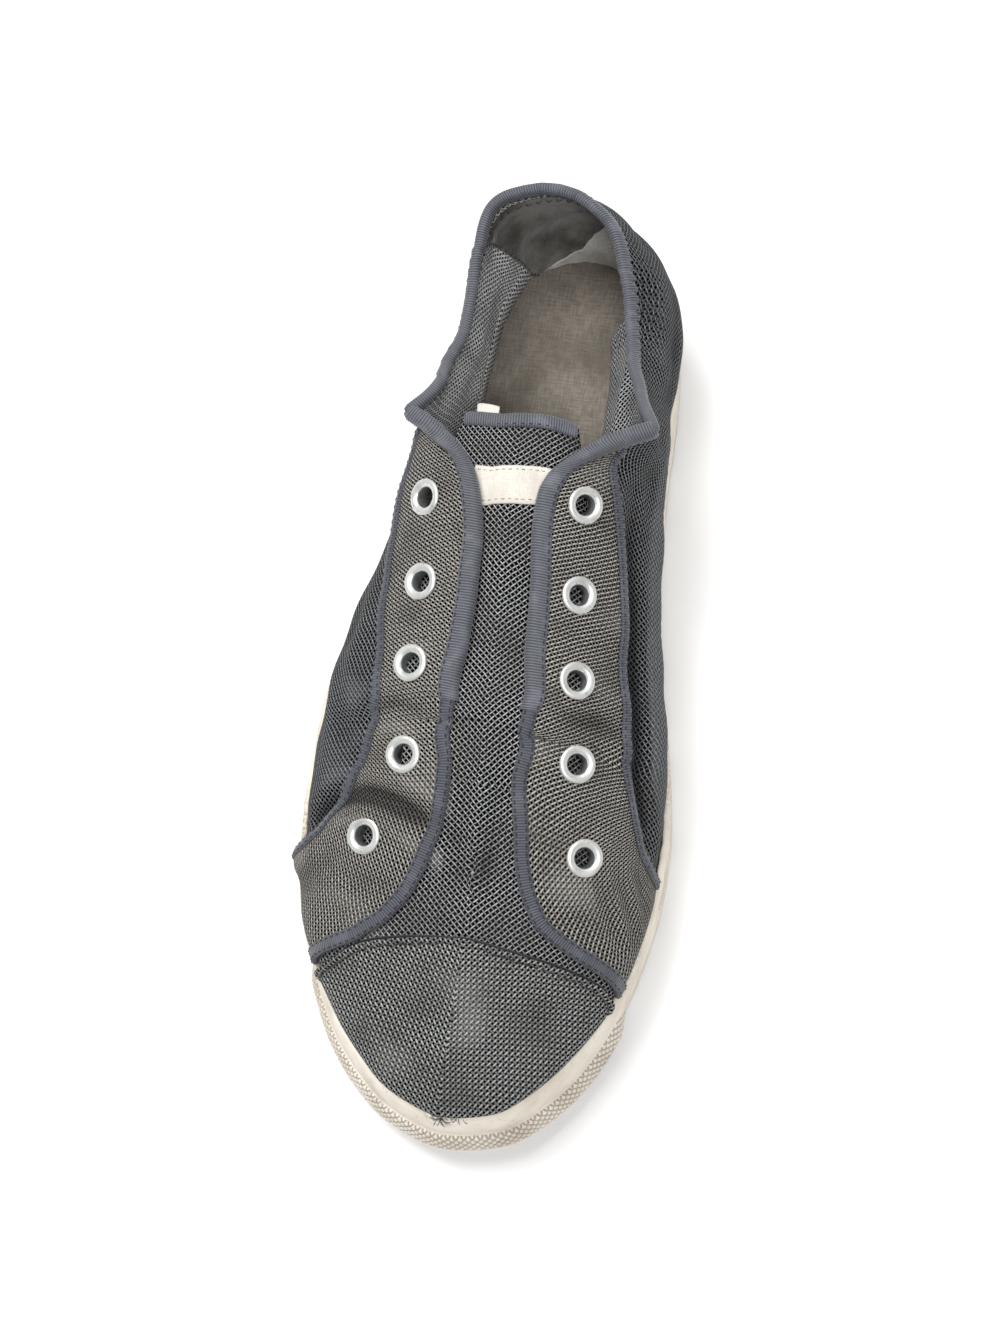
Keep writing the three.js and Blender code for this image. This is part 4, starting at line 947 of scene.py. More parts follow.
def painted_metal(name, pale, dull):
    """Dull pale metal, scratched and a little grimy."""
    paint = Paint(name, 0.34, Metallic=0.55, Specular_IOR_Level=0.5)
    place = paint.place()
    chips = paint.between(paint.noise(place, size=0.9, detail=4.0), 0.62, 0.7)
    grime = paint.between(paint.noise(place, size=3.5, detail=3.0), 0.4, 0.8)
    colour = paint.mix(grime, tone(*pale), tone(*dull))
    paint.colour(paint.cover(colour, chips, strength=0.5, shade=darker(dull, 0.7)))
    paint.bump(paint.noise(place, size=0.8, detail=3.0), depth=0.04, strength=0.4)
    return paint.material


def linen(name, light, dark, soil, thickness=0.5):
    """Soiled linen with crossed threads of uneven colour."""
    paint = Paint(name, 0.85, Sheen_Weight=0.1, Specular_IOR_Level=0.25)
    across, along, _ = paint.split(paint.cloth())
    threads = []
    for shares in ((1.0, 0.1), (0.1, 1.0)):
        drawn = [paint.math("MULTIPLY", value, share) for value, share in zip((across, along), shares)]
        threads.append(paint.noise(paint.node("CombineXYZ", drawn).outputs[0], thickness))
    crossed = paint.math("MULTIPLY_ADD", threads[0], 0.5, paint.math("MULTIPLY", threads[1], 0.5))
    cloudy = paint.between(paint.noise(paint.place(), size=22.0, detail=5.0), 0.4, 0.7)
    blots = paint.between(paint.noise(paint.place(), size=5.0, detail=3.0), 0.58, 0.72)
    colour = paint.mix(paint.between(crossed, 0.34, 0.66), tone(*dark), tone(*light))
    colour = paint.cover(colour, cloudy, strength=0.65, shade=soil)
    paint.colour(paint.cover(colour, blots, strength=0.25, shade=soil))
    paint.bump(crossed, depth=0.3)
    return paint.material


def brushed(name, light, dark):
    """Brushed lining cloth, matted and worn in patches."""
    paint = Paint(name, 0.9, Sheen_Weight=0.35, Specular_IOR_Level=0.2)
    place = paint.place()
    patches = paint.noise(place, size=9.0, detail=5.0)
    nap = paint.noise(place, size=0.7, detail=3.0)
    colour = paint.mix(paint.between(patches, 0.35, 0.68), tone(*dark), tone(*light))
    paint.colour(paint.cover(colour, nap, strength=0.35, shade=dark))
    paint.bump(paint.math("MULTIPLY_ADD", patches, 2.0, nap), depth=0.25)
    return paint.material


def thread(name, shade):
    """Sewing thread with a faint twist."""
    paint = Paint(name, 0.65, Sheen_Weight=0.1)
    fluff = paint.noise(paint.place(), size=0.4)
    paint.colour(paint.mix(paint.between(fluff, 0.35, 0.65), tone(*shade), tone(*darker(shade, 0.6))))
    paint.bump(fluff, depth=0.1)
    return paint.material


# Diamonds of the toe strip per millimetre, round the shoe and up its side
DIAMOND_ACROSS = 0.42
DIAMOND_UP = 0.28


def diamonds(paint):
    """Cut diamonds round the toe strip: 1 on a diamond and 0 in the cuts."""
    across, along, _ = paint.split(paint.cloth())
    turned = paint.math("MULTIPLY", across, DIAMOND_ACROSS)
    risen = paint.math("MULTIPLY", along, DIAMOND_UP)
    first, second = paint.math("ADD", turned, risen), paint.math("SUBTRACT", turned, risen)
    rows = [paint.math("SINE", paint.math("MULTIPLY", paint.math("FRACT", value), math.pi))
            for value in (first, second)]
    return paint.between(paint.math("MINIMUM", *rows), 0.05, 0.7)


CAP_CLOTH = woven("cap_cloth", (180, 181, 177), (116, 117, 115), (42, 43, 43), (7, 8, 9), 1.16, 52, True,
                  strand=(0.54, 0.87), crossing=(0.0, 0.75))
VAMP_CLOTH = woven("vamp_cloth", (178, 179, 178), (130, 131, 132), (48, 49, 51), (4, 5, 6), 1.3, 45,
                   True, strand=(0.74, 0.96))
# The quarters' net is a darker copy of the vamp's, as painted shade on the shoe's sides
SHADED_QUARTER_NET = woven("shaded_quarter_net", (138, 141, 144), (96, 98, 102), (36, 38, 41), (4, 5, 6), 1.3, 45,
                   strand=(0.72, 0.95))
PANEL_CLOTH = woven("panel_cloth", (178, 174, 167), (114, 111, 106), (56, 54, 51), (8, 7, 7), 1.08, -28,
                    strand=(0.56, 0.88))
# The lining inside the wall is painted brighter than its cloth, as painted light in the shaded inside.
# The loose lining, which hangs in the light, takes a darker copy of the same lining
LIT_LINING_NET = woven("lit_lining_net", (250, 251, 252), (226, 228, 230), (112, 113, 115), (22, 23, 25),
                     1.4)
LOOSE_CLOTH = woven("loose_cloth", (206, 207, 208), (164, 165, 167), (66, 67, 69), (8, 9, 10), 1.3,
                    strand=(0.62, 0.9))
TAPE_CLOTH = ribbed("tape_cloth", (44, 46, 54), (100, 102, 112))
EDGE_CLOTH = ribbed("edge_cloth", (52, 54, 62), (122, 124, 132))
INSOLE_CLOTH = linen("insole_linen", (130, 122, 112), (102, 96, 88), (74, 69, 62))
LABEL_CLOTH = linen("label_cloth", (222, 217, 208), (204, 199, 189), (188, 181, 170), 0.3)
STRIP_CLOTH = linen("strip_cloth", (226, 224, 219), (198, 195, 190), (158, 154, 148), 0.4)
PATCH_CLOTH = brushed("patch_cloth", (124, 120, 112), (62, 59, 54))
EYELET_PAINT = painted_metal("eyelet_paint", (222, 223, 220), (196, 197, 193))
# A darker copy of the eyelets' metal, as painted shade inside their holes and behind the cloth
EYELET_HOLE_SHADE = painted_metal("eyelet_hole_shade", (128, 130, 130), (96, 97, 96))
WHITE_RUBBER = rubber("white_rubber")
STRIP_RUBBER = rubber("strip_rubber", diamonds)
DARK_THREAD = thread("dark_thread", (34, 36, 44))
GREY_THREAD = thread("grey_thread", (78, 80, 86))
PALE_THREAD = thread("pale_thread", (205, 196, 186))


# Upper shell

AROUND = 470
SHELL_HEIGHTS = np.concatenate([[-1, -0.6, -0.25], np.linspace(0, 1, 58)])
EYELETS = {
    INNER: [(10.45, 0.81), (9.4, 0.8), (8.3, 0.79), (7.2, 0.67), (6.0, 0.6)],
    OUTER: [(10.35, 0.78), (9.3, 0.79), (8.2, 0.81), (6.95, 0.73), (5.8, 0.6)],
}
HOLE_CUT = 3.5
HOLE_DEPTH = 7
PANEL_TOP = PANEL_LIFT + PANEL
# Loose lining of the outer wall: how far it hangs in, and where that begins and ends
SLACK = 4.5
SLACK_FRONT, SLACK_REAR = (-11.4, -12.6), (-16.4, -14.6)
SLACK_HEIGHTS = (0.85, 0.1)
# The tongue's line behind the throat: its slope and the places where its length is measured
TONGUE_SLOPE = 0.32
TONGUE_LINE = np.linspace(5, 150, 30)


def eyelet_axes(side):
    """Middle on the smooth last, middle on the cloth and outward direction of each eyelet."""
    axes = []
    for station, height in EYELETS[side]:
        w = np.array(float(side * station))
        axes.append((smooth_point(w, height), on_upper(w, height, 0.0), surface_frame(w, height)[0]))
    return axes


EYELET_AXES = {side: eyelet_axes(side) for side in (INNER, OUTER)}


def open_holes(piece, sides=(INNER, OUTER)):
    """Opens the holes for the eyelets: every face that reaches inside one goes."""
    work = bmesh.new()
    work.from_mesh(piece.data)
    points = np.array([v.co for v in work.verts]) / MM
    inside = np.zeros(len(points), bool)
    for side in sides:
        for _, middle, axis in EYELET_AXES[side]:
            from_middle = points - middle
            depth = from_middle @ axis
            away = np.linalg.norm(from_middle - depth[:, None] * axis, axis=1)
            inside |= (np.abs(depth) < HOLE_DEPTH) & (away < HOLE_CUT)
    gone = [face for face in work.faces if any(inside[v.index] for v in face.verts)]
    bmesh.ops.delete(work, geom=gone, context="FACES")
    work.to_mesh(piece.data)
    work.free()


def spine_length(y):
    """Length over the vamp and tongue, from the top of the toe cap to a place Y along the shoe."""
    stations = np.linspace(CAP_END, THROAT_BASE, 40)
    line = shares_to_points(spine(stations))
    rear = line[-1] + np.array([0, 1, TONGUE_SLOPE]) * TONGUE_LINE[:, None]
    line = np.vstack([line, rear])
    return np.interp(y, line[:, 1], path_lengths(line))


def throat_middle(w):
    """X of the middle line between the two throat edges, or of the spine in front of them."""
    station = np.abs(w)
    curves = (throat_edge[INNER], throat_edge[OUTER], spine)
    inner, outer, front = (shares_to_points(curve(station))[..., 0] for curve in curves)
    return np.where(station <= THROAT_BASE, front, (inner + outer) / 2)


def front_cloth(w, points):
    """Place in the flat cloth of the vamp and cap, measured out from the top line."""
    top = top_point(w)
    foot = upper_foot(w, np.ones(w.shape))
    heading = unit((foot - top)[..., :2])
    away = np.linalg.norm(points - top, axis=-1)
    across = top[..., 0] - throat_middle(w) + away * heading[..., 0]
    along = spine_length(top[..., 1]) + away * heading[..., 1]
    return np.stack([across, along], axis=-1)


def below_rear_line(w, height):
    """Whether a place is in the quarter, below the rear edge of the eyestay."""
    station = np.abs(w)
    limits = []
    for side in (INNER, OUTER):
        rows = np.array(EYESTAY_REAR[side])[::-1]
        limits.append(np.interp(station, rows[:, 1], rows[:, 2], left=-2, right=2))
    return height < np.where(w >= 0, limits[0], limits[1])


def slack_lining(w, height):
    """How far the loose lining hangs in from the outer wall behind the throat."""
    reach = ramp(*SLACK_FRONT, w) * ramp(*SLACK_REAR, w)
    return SLACK * reach * ramp(*SLACK_HEIGHTS, height) * (height > TUCKED_LEVEL)


def make_upper():
    """The hollow wall of the upper, closed over the toe and open at the throat, collar and foot."""
    w = np.linspace(-BACK, BACK, AROUND, endpoint=False)
    rows, columns = AROUND, len(SHELL_HEIGHTS)
    grid_w, grid_h = np.broadcast_arrays(w[:, None], SHELL_HEIGHTS[None, :])
    outer = on_upper(grid_w, grid_h, 0.0)
    inner = on_upper(grid_w, grid_h, -WALL - slack_lining(grid_w, grid_h))
    # Both sides meet on the spine in front of the throat, and at one point above the toe cap
    facing = (-np.arange(rows)) % rows
    joined, fan = np.abs(w) <= THROAT_BASE, np.abs(w) < CAP_END
    for grid in (outer, inner):
        both = (grid[:, -1] + grid[facing, -1]) / 2
        grid[joined, -1] = both[joined]
        grid[fan, -1] = grid[fan, -1].mean(axis=0)
    faces = grid_faces(rows, columns, closed_rows=True)
    count = rows * columns
    level = np.arange(rows)
    after = (level + 1) % rows
    open_top = ~(joined & joined[after])
    rims = []
    for column, chosen in ((0, np.ones(rows, bool)), (columns - 1, open_top)):
        a, b = level[chosen] * columns + column, after[chosen] * columns + column
        rims.append(np.stack([a, b, b + count, a + count], axis=1))
    side_places = flat_places(outer)
    in_quarter = below_rear_line(grid_w, grid_h)
    places = np.where(in_quarter[..., None], side_places, front_cloth(grid_w, outer))
    places = with_relief(places, grid_w, grid_h).reshape(-1, 3)
    places_within = np.concatenate([side_places, np.zeros((rows, columns, 1))], axis=-1).reshape(-1, 3)
    # The quarters take the darker copy of the net, which is painted shade
    vamp, quarter, lining = range(3)
    kinds = np.where(in_quarter.reshape(-1)[faces].all(axis=1), quarter, vamp)
    # The inside and its rims take the lining that is painted brighter, as painted light
    kinds = np.concatenate([kinds, np.full(len(faces) + sum(map(len, rims)), lining)])
    piece = clean(make_object(
        "upper_shell", np.vstack([outer.reshape(-1, 3), inner.reshape(-1, 3)]),
        np.vstack([faces, faces[:, ::-1] + count, *rims]), np.vstack([places, places_within]),
        [VAMP_CLOTH, SHADED_QUARTER_NET, LIT_LINING_NET], kinds,
    ))
    open_holes(piece)
    dress(piece, "mesh_grey", "upper")


make_upper()


# Toe cap, with a folded edge along its seam

CAP_SEAM = {
    INNER: smooth_rows([[0, 4.14], [0.25, 4.30], [0.55, 4.38], [0.8, 4.38], [1, 4.38]]),
    OUTER: smooth_rows([[0, 3.84], [0.35, 3.97], [0.57, 4.18], [0.8, 4.30], [1, 4.38]]),
}
CAP_STEPS = 70
CAP_HEIGHTS = np.linspace(0.0, 1, 60)
# Steps from the middle to each side grow finer towards the seam by this power
CAP_SPREAD = 1.25
# The folded edge along the seam, and the groove that its stitches pull in, in millimetres
FOLD_RISE, FOLD_BAND = 0.7, 1.7
GROOVE_DEPTH, GROOVE_PLACE, GROOVE_WIDTH = 0.35, 2.1, 0.5


def cap_places():
    shares = np.linspace(-1, 1, 2 * CAP_STEPS + 1)
    shares = np.sign(shares) * (1 - (1 - np.abs(shares)) ** CAP_SPREAD)
    height = np.broadcast_to(CAP_HEIGHTS, (len(shares), len(CAP_HEIGHTS)))
    inner, outer = (CAP_SEAM[side](CAP_HEIGHTS)[:, 0] for side in (INNER, OUTER))
    return shares[:, None] * np.where(shares[:, None] >= 0, inner, outer), height


def make_cap():
    w, height = cap_places()
    smooth = smooth_point(w, height)
    seam_away = np.minimum(
        np.linalg.norm(smooth - smooth[:1], axis=-1), np.linalg.norm(smooth - smooth[-1:], axis=-1),
    )
    fold = FOLD_RISE * np.exp(-(seam_away / FOLD_BAND) ** 6)
    groove = GROOVE_DEPTH * np.exp(-((seam_away - GROOVE_PLACE) / GROOVE_WIDTH) ** 2)
    lift = PANEL_TOP + 0.1 + (fold - groove)
    outer, inner = on_upper(w, height, lift), on_upper(w, height, 0.2)
    for grid in (outer, inner):
        grid[:, -1] = grid[:, -1].mean(axis=0)
    cloth = with_relief(front_cloth(w, smooth), w, height)
    dress(sheet_object("toe_cap_cloth", outer, inner, cloth, CAP_CLOTH), "mesh_grey", "toe_cap")


make_cap()


# Eyestays and their tapes

PANEL_START = 0.03
PANEL_MARGIN = 1.2
PANEL_ALONG, PANEL_ACROSS = 130, 26
# The panel dips under its tapes: how deep, and over what share of its half width
DIP_DEPTH, DIP_SHARE = 0.35, 0.16
TAPE_PITCH = 0.9
# Row of a section along which a tape's length is measured
TAPE_MIDDLE = 4
# Rows of a section: distance across the line and lift off the cloth
FRONT_TAPE = [
    (-2.1, 0.3), (-2.05, 1.5), (-1.75, 1.85), (-0.9, 2.0), (0, 1.95), (0.9, 2.0), (1.75, 1.85),
    (2.05, 1.5), (2.1, 0.3),
]
REAR_TAPE = [
    (-1.45, 0.3), (-1.4, 1.45), (-1.15, 1.75), (-0.55, 1.9), (0, 1.93), (0.55, 1.9), (1.15, 1.75),
    (1.4, 1.45), (1.45, 0.3),
]


def make_eyestay(side):
    name = SIDE_NAMES[side]
    lines = (FRONT_LINE[side], REAR_LINE[side])
    fine = np.linspace(PANEL_START, LINE_END, FINE)
    paths = [smooth_point(side * line(fine)[:, 0], line(fine)[:, 1]) for line in lines]
    places = mix(PANEL_START, LINE_END, even_places((paths[0] + paths[1]) / 2, PANEL_ALONG))
    ends = [beside(side, line, places, distance * np.ones(len(places)))
            for line, distance in zip(lines, (PANEL_MARGIN, -PANEL_MARGIN))]
    shares = np.linspace(0, 1, PANEL_ACROSS)
    w, height = (mix(front[:, None], rear[:, None], shares) for front, rear in zip(*ends))
    dip = DIP_DEPTH * np.exp(-((1 - np.abs(2 * shares - 1)) / DIP_SHARE) ** 2)
    outer, inner = on_upper(w, height, PANEL_TOP - dip), on_upper(w, height, PANEL_LIFT - 0.3)
    cloth = with_relief(flat_places(outer), w, height)
    piece = sheet_object(f"eyestay_{name}_cloth", outer, inner, cloth, PANEL_CLOTH)
    open_holes(piece, (side,))
    dress(piece, "eyestay_cloth", f"eyestay_{name}")


def tape_cloth(places_along, section):
    """Place in the flat tape: across its section and along it."""
    section = np.array(section, float)
    across = np.broadcast_to(section[:, 0], (len(places_along), len(section)))
    return np.stack([across, np.broadcast_to(places_along[:, None], across.shape)], axis=-1)


def make_tape(name, side, line, start, end, section):
    places = line_places(side, line, start, end, TAPE_PITCH)
    rings = strip_rings(side, line, places, section)
    cloth = tape_cloth(path_lengths(rings[:, TAPE_MIDDLE]), section)
    return tube_object(name, rings, TAPE_CLOTH, cloth=cloth)


# The collar binding is narrower and lies on the bare mesh
COLLAR_SECTION = [
    (-3.5, 0.05), (-3.4, 0.7), (-2.9, 1.0), (-1.8, 1.15), (-0.6, 1.05), (0.2, 0.75), (0.7, 0.2),
    (0.85, -0.6), (0.7, -1.4), (0.2, -2.0), (-0.8, -2.4), (-2.0, -2.5), (-3.0, -2.35), (-3.4, -2.1),
    (-3.5, -1.7),
]
# How far a binding runs on past a corner, and by what share it narrows there
CORNER_OVERRUN, OVERRUN_TAPER = 1.7, 0.3
COLLAR_START = 11.62
COLLAR_PITCH = 1.0

# Folded bindings: beyond the edge and offset from the cloth, from the outside over to the inside
BINDING_SECTION = [
    (-4.6, 0.2), (-4.55, 1.55), (-4.1, 1.95), (-3.0, 2.2), (-1.6, 2.3), (-0.4, 2.1), (0.5, 1.5),
    (1.0, 0.5), (1.1, -0.7), (0.8, -1.7), (0.1, -2.4), (-1.2, -2.75), (-3.0, -2.7), (-4.2, -2.5),
    (-4.5, -1.9),
]


def edge_rings(w, section):
    """Rings of a binding folded over the top edge, at signed stations."""
    section = np.array(section, float)
    grid_w = np.broadcast_to(w[:, None], (len(w), len(section)))
    beyond, offset = section[:, 0], section[:, 1]
    height = np.minimum(below_edge(grid_w, np.maximum(-beyond, 0)), 1)
    points = on_upper(grid_w, height, np.broadcast_to(offset, grid_w.shape))
    _, up, _ = surface_frame(grid_w, 1.0)
    return points + up * np.maximum(beyond, 0)[:, None]


def even_stations(start, end, pitch):
    """Signed stations along the top line, a pitch apart."""
    points = top_point(np.linspace(start, end, 400))
    count = int(path_lengths(points)[-1] / pitch) + 1
    return mix(start, end, even_places(points, count))


def overrun(rings):
    """Carries a binding a little past its end, narrowing, so that two of them cross at a corner."""
    heading = unit((rings[-1] - rings[-4]).mean(axis=0))
    middle = rings[-1].mean(axis=0)
    extra = [mix(rings[-1], middle, share * OVERRUN_TAPER) + heading * CORNER_OVERRUN * share
             for share in (0.5, 1.0)]
    return np.concatenate([rings, extra])


def make_binding(name, w, section, both_ends=False):
    rings = edge_rings(w, section)
    if both_ends:
        rings = overrun(rings[::-1])[::-1]
    rings = overrun(rings)
    cloth = tape_cloth(path_lengths(rings[:, TAPE_MIDDLE]), section)
    return tube_object(name, rings, EDGE_CLOTH, cloth=cloth)


for side in (INNER, OUTER):
    side_name = SIDE_NAMES[side]
    make_eyestay(side)
    rear_tape = make_tape(f"rear_tape_{side_name}", side, REAR_LINE[side], 0.04, LINE_END, REAR_TAPE)
    dress(rear_tape, "tape_blue", f"eyestay_tape_{side_name}")
    throat_w = even_stations(side * THROAT_LOW, side * (CORNER - 0.03), TAPE_PITCH)
    binding = make_binding(f"throat_binding_{side_name}_cloth", throat_w, BINDING_SECTION)
    dress(binding, "tape_blue", f"throat_binding_{side_name}")
    front_tape = make_tape(f"front_tape_{side_name}", side, FRONT_LINE[side], 0.96, LINE_END, FRONT_TAPE)
    dress(front_tape, "tape_blue")

collar_side = even_stations(COLLAR_START, BACK, COLLAR_PITCH)
collar_w = np.concatenate([collar_side, -collar_side[-2::-1]])
collar = make_binding("collar_roll", collar_w, COLLAR_SECTION, both_ends=True)
dress(collar, "tape_blue", "collar_binding")


# Tongue: one cloth with the vamp, sinking under the throat edges and ending in a taped edge

# Stations: its start, where it leaves the vamp, where it has sunk and where its last row is
TONGUE_FRONT = 6.5
TONGUE_LEAVES = 6.8
TONGUE_SINK = 8.7
TONGUE_STRAIGHT = 10.2
TONGUE_ROWS, TONGUE_COLUMNS = 110, 70
WING_STEPS, MIDDLE_STEPS = 24, 14
# Height on the wall that its wings reach down to, and those of its front end under the vamp
TONGUE_WING, GUSSET_WING = 0.72, 0.4
GUSSET_STATIONS = np.linspace(5.2, 7.7, 30)
# Depths under the vamp's surface at its start and where it leaves the vamp
TONGUE_UNDER, TONGUE_OVER = 0.5, -0.28
TONGUE_CROWN = 1.2
CROWN_STATIONS = (7.5, 8.6)
# Its free end: rows, share of the slope that is left, narrowing and sideways turn
TONGUE_END_ROWS = 30
TONGUE_DROOP = 0.6
TONGUE_TAPER = 0.3
TONGUE_TURN = 2.0
# Long folds: height, waves across, drift along, and the band across and along that has them
TONGUE_FOLD, FOLD_WAVES, FOLD_DRIFT = 0.55, 6.0, 0.03
FOLD_SHARE, FOLD_START = 0.5, (12, 30)


def tongue_row(station, depth, wing=TONGUE_WING):
    """Points across the tongue at one station, from the outer to the inner wing."""
    heights = np.linspace(wing, 1, WING_STEPS)
    wings = {}
    for side in (OUTER, INNER):
        w = np.full(len(heights), float(side * station))
        wings[side] = on_upper(w, heights, -depth)
    left, right = wings[OUTER], wings[INNER][::-1]
    shares = np.linspace(0, 1, MIDDLE_STEPS)[1:-1, None]
    middle = mix(left[-1], right[0], shares)
    crown = 4 * TONGUE_CROWN * (shares * (1 - shares))[:, 0]
    middle[:, 2] += crown * ramp(*CROWN_STATIONS, station)
    path = np.vstack([left, middle, right])
    return at_index(path, even_places(path, TONGUE_COLUMNS) * (len(path) - 1))


def make_tongue_grid(extra):
    """Grid of the tongue, an extra depth below its top, and the heading of its free end."""
    stations = np.linspace(TONGUE_FRONT, TONGUE_STRAIGHT, TONGUE_ROWS)
    sink = mix(TONGUE_OVER, TONGUE_DEPTH, ramp(THROAT_BASE + 0.2, TONGUE_SINK, stations))
    start = mix(TONGUE_UNDER, TONGUE_OVER, ramp(TONGUE_FRONT, TONGUE_LEAVES, stations))
    sink = np.where(stations < TONGUE_LEAVES, start, sink)
    rows = [tongue_row(station, depth + extra) for station, depth in zip(stations, sink)]
    middle = TONGUE_COLUMNS // 2
    heading = rows[-1][middle] - rows[-12][middle]
    heading[2] *= TONGUE_DROOP
    heading = heading / np.linalg.norm(heading)
    last = rows[-1]
    for share in np.linspace(0, 1, TONGUE_END_ROWS)[1:]:
        taper = last + (last[middle] - last) * TONGUE_TAPER * share
        rows.append(taper + heading * TONGUE_REACH * share + np.array([TONGUE_TURN * share, 0, 0]))
    grid = np.array(rows)
    across = np.linspace(-1, 1, TONGUE_COLUMNS)
    along = grid[..., 1] - grid[0, middle, 1]
    folds = TONGUE_FOLD * np.sin(across * FOLD_WAVES + FOLD_DRIFT * along)
    folds = folds * np.exp(-(across / FOLD_SHARE) ** 4)
    grid[..., 2] += folds * ramp(*FOLD_START, along)
    return grid, heading


tongue_top, tongue_heading = make_tongue_grid(0.0)
tongue_bottom = make_tongue_grid(TONGUE)[0]


def make_tongue():
    cloth = np.stack([across_places(tongue_top), spine_length(tongue_top[..., 1])], axis=-1)
    piece = sheet_object("tongue_cloth", tongue_top, tongue_bottom, cloth, VAMP_CLOTH)
    dress(piece, "mesh_grey", "tongue")


make_tongue()


def make_tongue_front():
    """The tongue's front, sewn in under the vamp, seen through the lower eyelets."""
    rows = [[tongue_row(station, TONGUE_DEPTH + lift, GUSSET_WING) for station in GUSSET_STATIONS]
            for lift in (0.0, TONGUE)]
    outer, inner = np.array(rows)
    dress(sheet_object("tongue_front", outer, inner, flat_places(outer), VAMP_CLOTH), "mesh_grey")


make_tongue_front()

TONGUE_EDGE_SECTION = [
    (-3.4, 0.05), (-3.3, 0.75), (-2.6, 1.1), (-1.3, 1.2), (0.0, 1.0), (0.9, 0.2), (1.0, -0.9),
    (0.5, -2.0), (-0.9, -2.6), (-2.6, -2.5), (-3.3, -2.2), (-3.4, -1.0),
]


def make_tongue_edge():
    end = tongue_top[-1][2:-2]
    across = unit(np.gradient(end, axis=0))
    up = unit(np.cross(across, np.broadcast_to(tongue_heading, across.shape)))
    section = np.array(TONGUE_EDGE_SECTION)
    rings = end[:, None] + tongue_heading * section[:, :1] + up[:, None] * section[:, 1:]
    even = even_places(end, TONGUE_COLUMNS) * (len(end) - 1)
    rings = np.stack([at_index(rings[:, k], even) for k in range(len(section))], axis=1)
    cloth = tape_cloth(path_lengths(rings[:, 3]), TONGUE_EDGE_SECTION)
    piece = tube_object("tongue_edge_tape", rings, EDGE_CLOTH, cloth=cloth)
    dress(piece, "tape_blue", "tongue_binding")


make_tongue_edge()


# Woven label across the tongue, bare of any words, and the corner of a cloth tag behind its top

LABEL_FAR = 15.0
LABEL_HEIGHT = 11.5
LABEL_COLUMNS = (17, 55)
LABEL_ROWS = 26
# Its thickness at the rim and further in, and the ripples across it
LABEL_RIM, LABEL_PUFF, LABEL_RIPPLE = 0.35, 0.35, 0.08
TAG_COLUMN = 19
TAG_SIZE = (7.5, 6.5)
# The tag's overlaps sideways and with the tongue's end, its drop, curl and wave
TAG_OVERLAP, TAG_TUCK = 1.0, 2.0
TAG_DROP, TAG_CURL, TAG_WAVE = 1.4, 1.6, 1.3
TAG_THICK = 0.35


def on_tongue(columns, back):
    """Points on the tongue's top in given columns, a distance back from its end."""
    along = path_lengths(tongue_top[:, TONGUE_COLUMNS // 2])
    row = np.interp(along[-1] - np.asarray(back, float), along, np.arange(len(along)))
    low = np.clip(np.floor(row).astype(int), 0, len(tongue_top) - 2)
    share = (row - low)[..., None]
    columns = np.asarray(columns)
    return mix(tongue_top[low, columns], tongue_top[low + 1, columns], share)


def make_label():
    columns = np.arange(*LABEL_COLUMNS)
    back = np.linspace(LABEL_FAR + LABEL_HEIGHT, LABEL_FAR, LABEL_ROWS)
    grid_back, grid_columns = np.meshgrid(back, columns, indexing="ij")
    base = on_tongue(grid_columns, grid_back)
    rim = np.minimum(np.abs(grid_back - LABEL_FAR), np.abs(grid_back - LABEL_FAR - LABEL_HEIGHT))
    lift = LABEL_RIM + LABEL_PUFF * ramp(0, 1.2, rim) + LABEL_RIPPLE * np.sin(grid_columns * 0.9)
    up = np.array([0, 0, 1.0])
    outer, inner = base + up * lift[..., None], base + up * 0.05
    piece = sheet_object("label_woven", outer, inner, flat_places(outer), LABEL_CLOTH)
    dress(piece, "label_white", "tongue_label")


make_label()


def make_tag():
    corner = tongue_bottom[-1][TAG_COLUMN]
    across = unit(tongue_bottom[-1][TAG_COLUMN - 5] - corner)
    shares = np.linspace(0, 1, 12)
    grid = []
    for up_share in np.linspace(0, 1, 9):
        row = corner + across * (TAG_SIZE[0] * shares[:, None] - TAG_OVERLAP)
        row = row + tongue_heading * (TAG_SIZE[1] * up_share - TAG_TUCK)
        row[:, 2] += -TAG_DROP - TAG_CURL * up_share ** 2 + TAG_WAVE * np.sin(shares * 2.4) * up_share
        grid.append(row)
    outer = np.array(grid)
    inner = outer - np.array([0, 0, TAG_THICK])
    dress(sheet_object("tongue_tag", outer, inner, flat_places(outer), LABEL_CLOTH), "label_white")


make_tag()


# Eyelets: a rolled flange outside, a tube through the cloth and a ring behind

# Profile: distance from the axis and height over the cloth
EYELET_PROFILE = [
    (2.75, -2.4), (3.1, -2.65), (3.9, -2.6), (4.3, -2.3), (3.5, -2.0), (3.2, -1.9),
    (3.2, 1.2), (4.6, 1.3), (5.2, 1.4), (5.45, 1.6), (5.42, 1.95), (5.1, 2.25),
    (4.6, 2.4), (4.0, 2.32), (3.45, 2.05), (3.05, 1.6), (2.82, 1.0), (2.75, 0.2),
]
EYELET_TURNS = 64
# The metal is painted darker nearer to the axis than this, and below this height, as painted shade
# inside the hole and behind the cloth
EYELET_DARK, EYELET_LOW = 3.1, 1.0


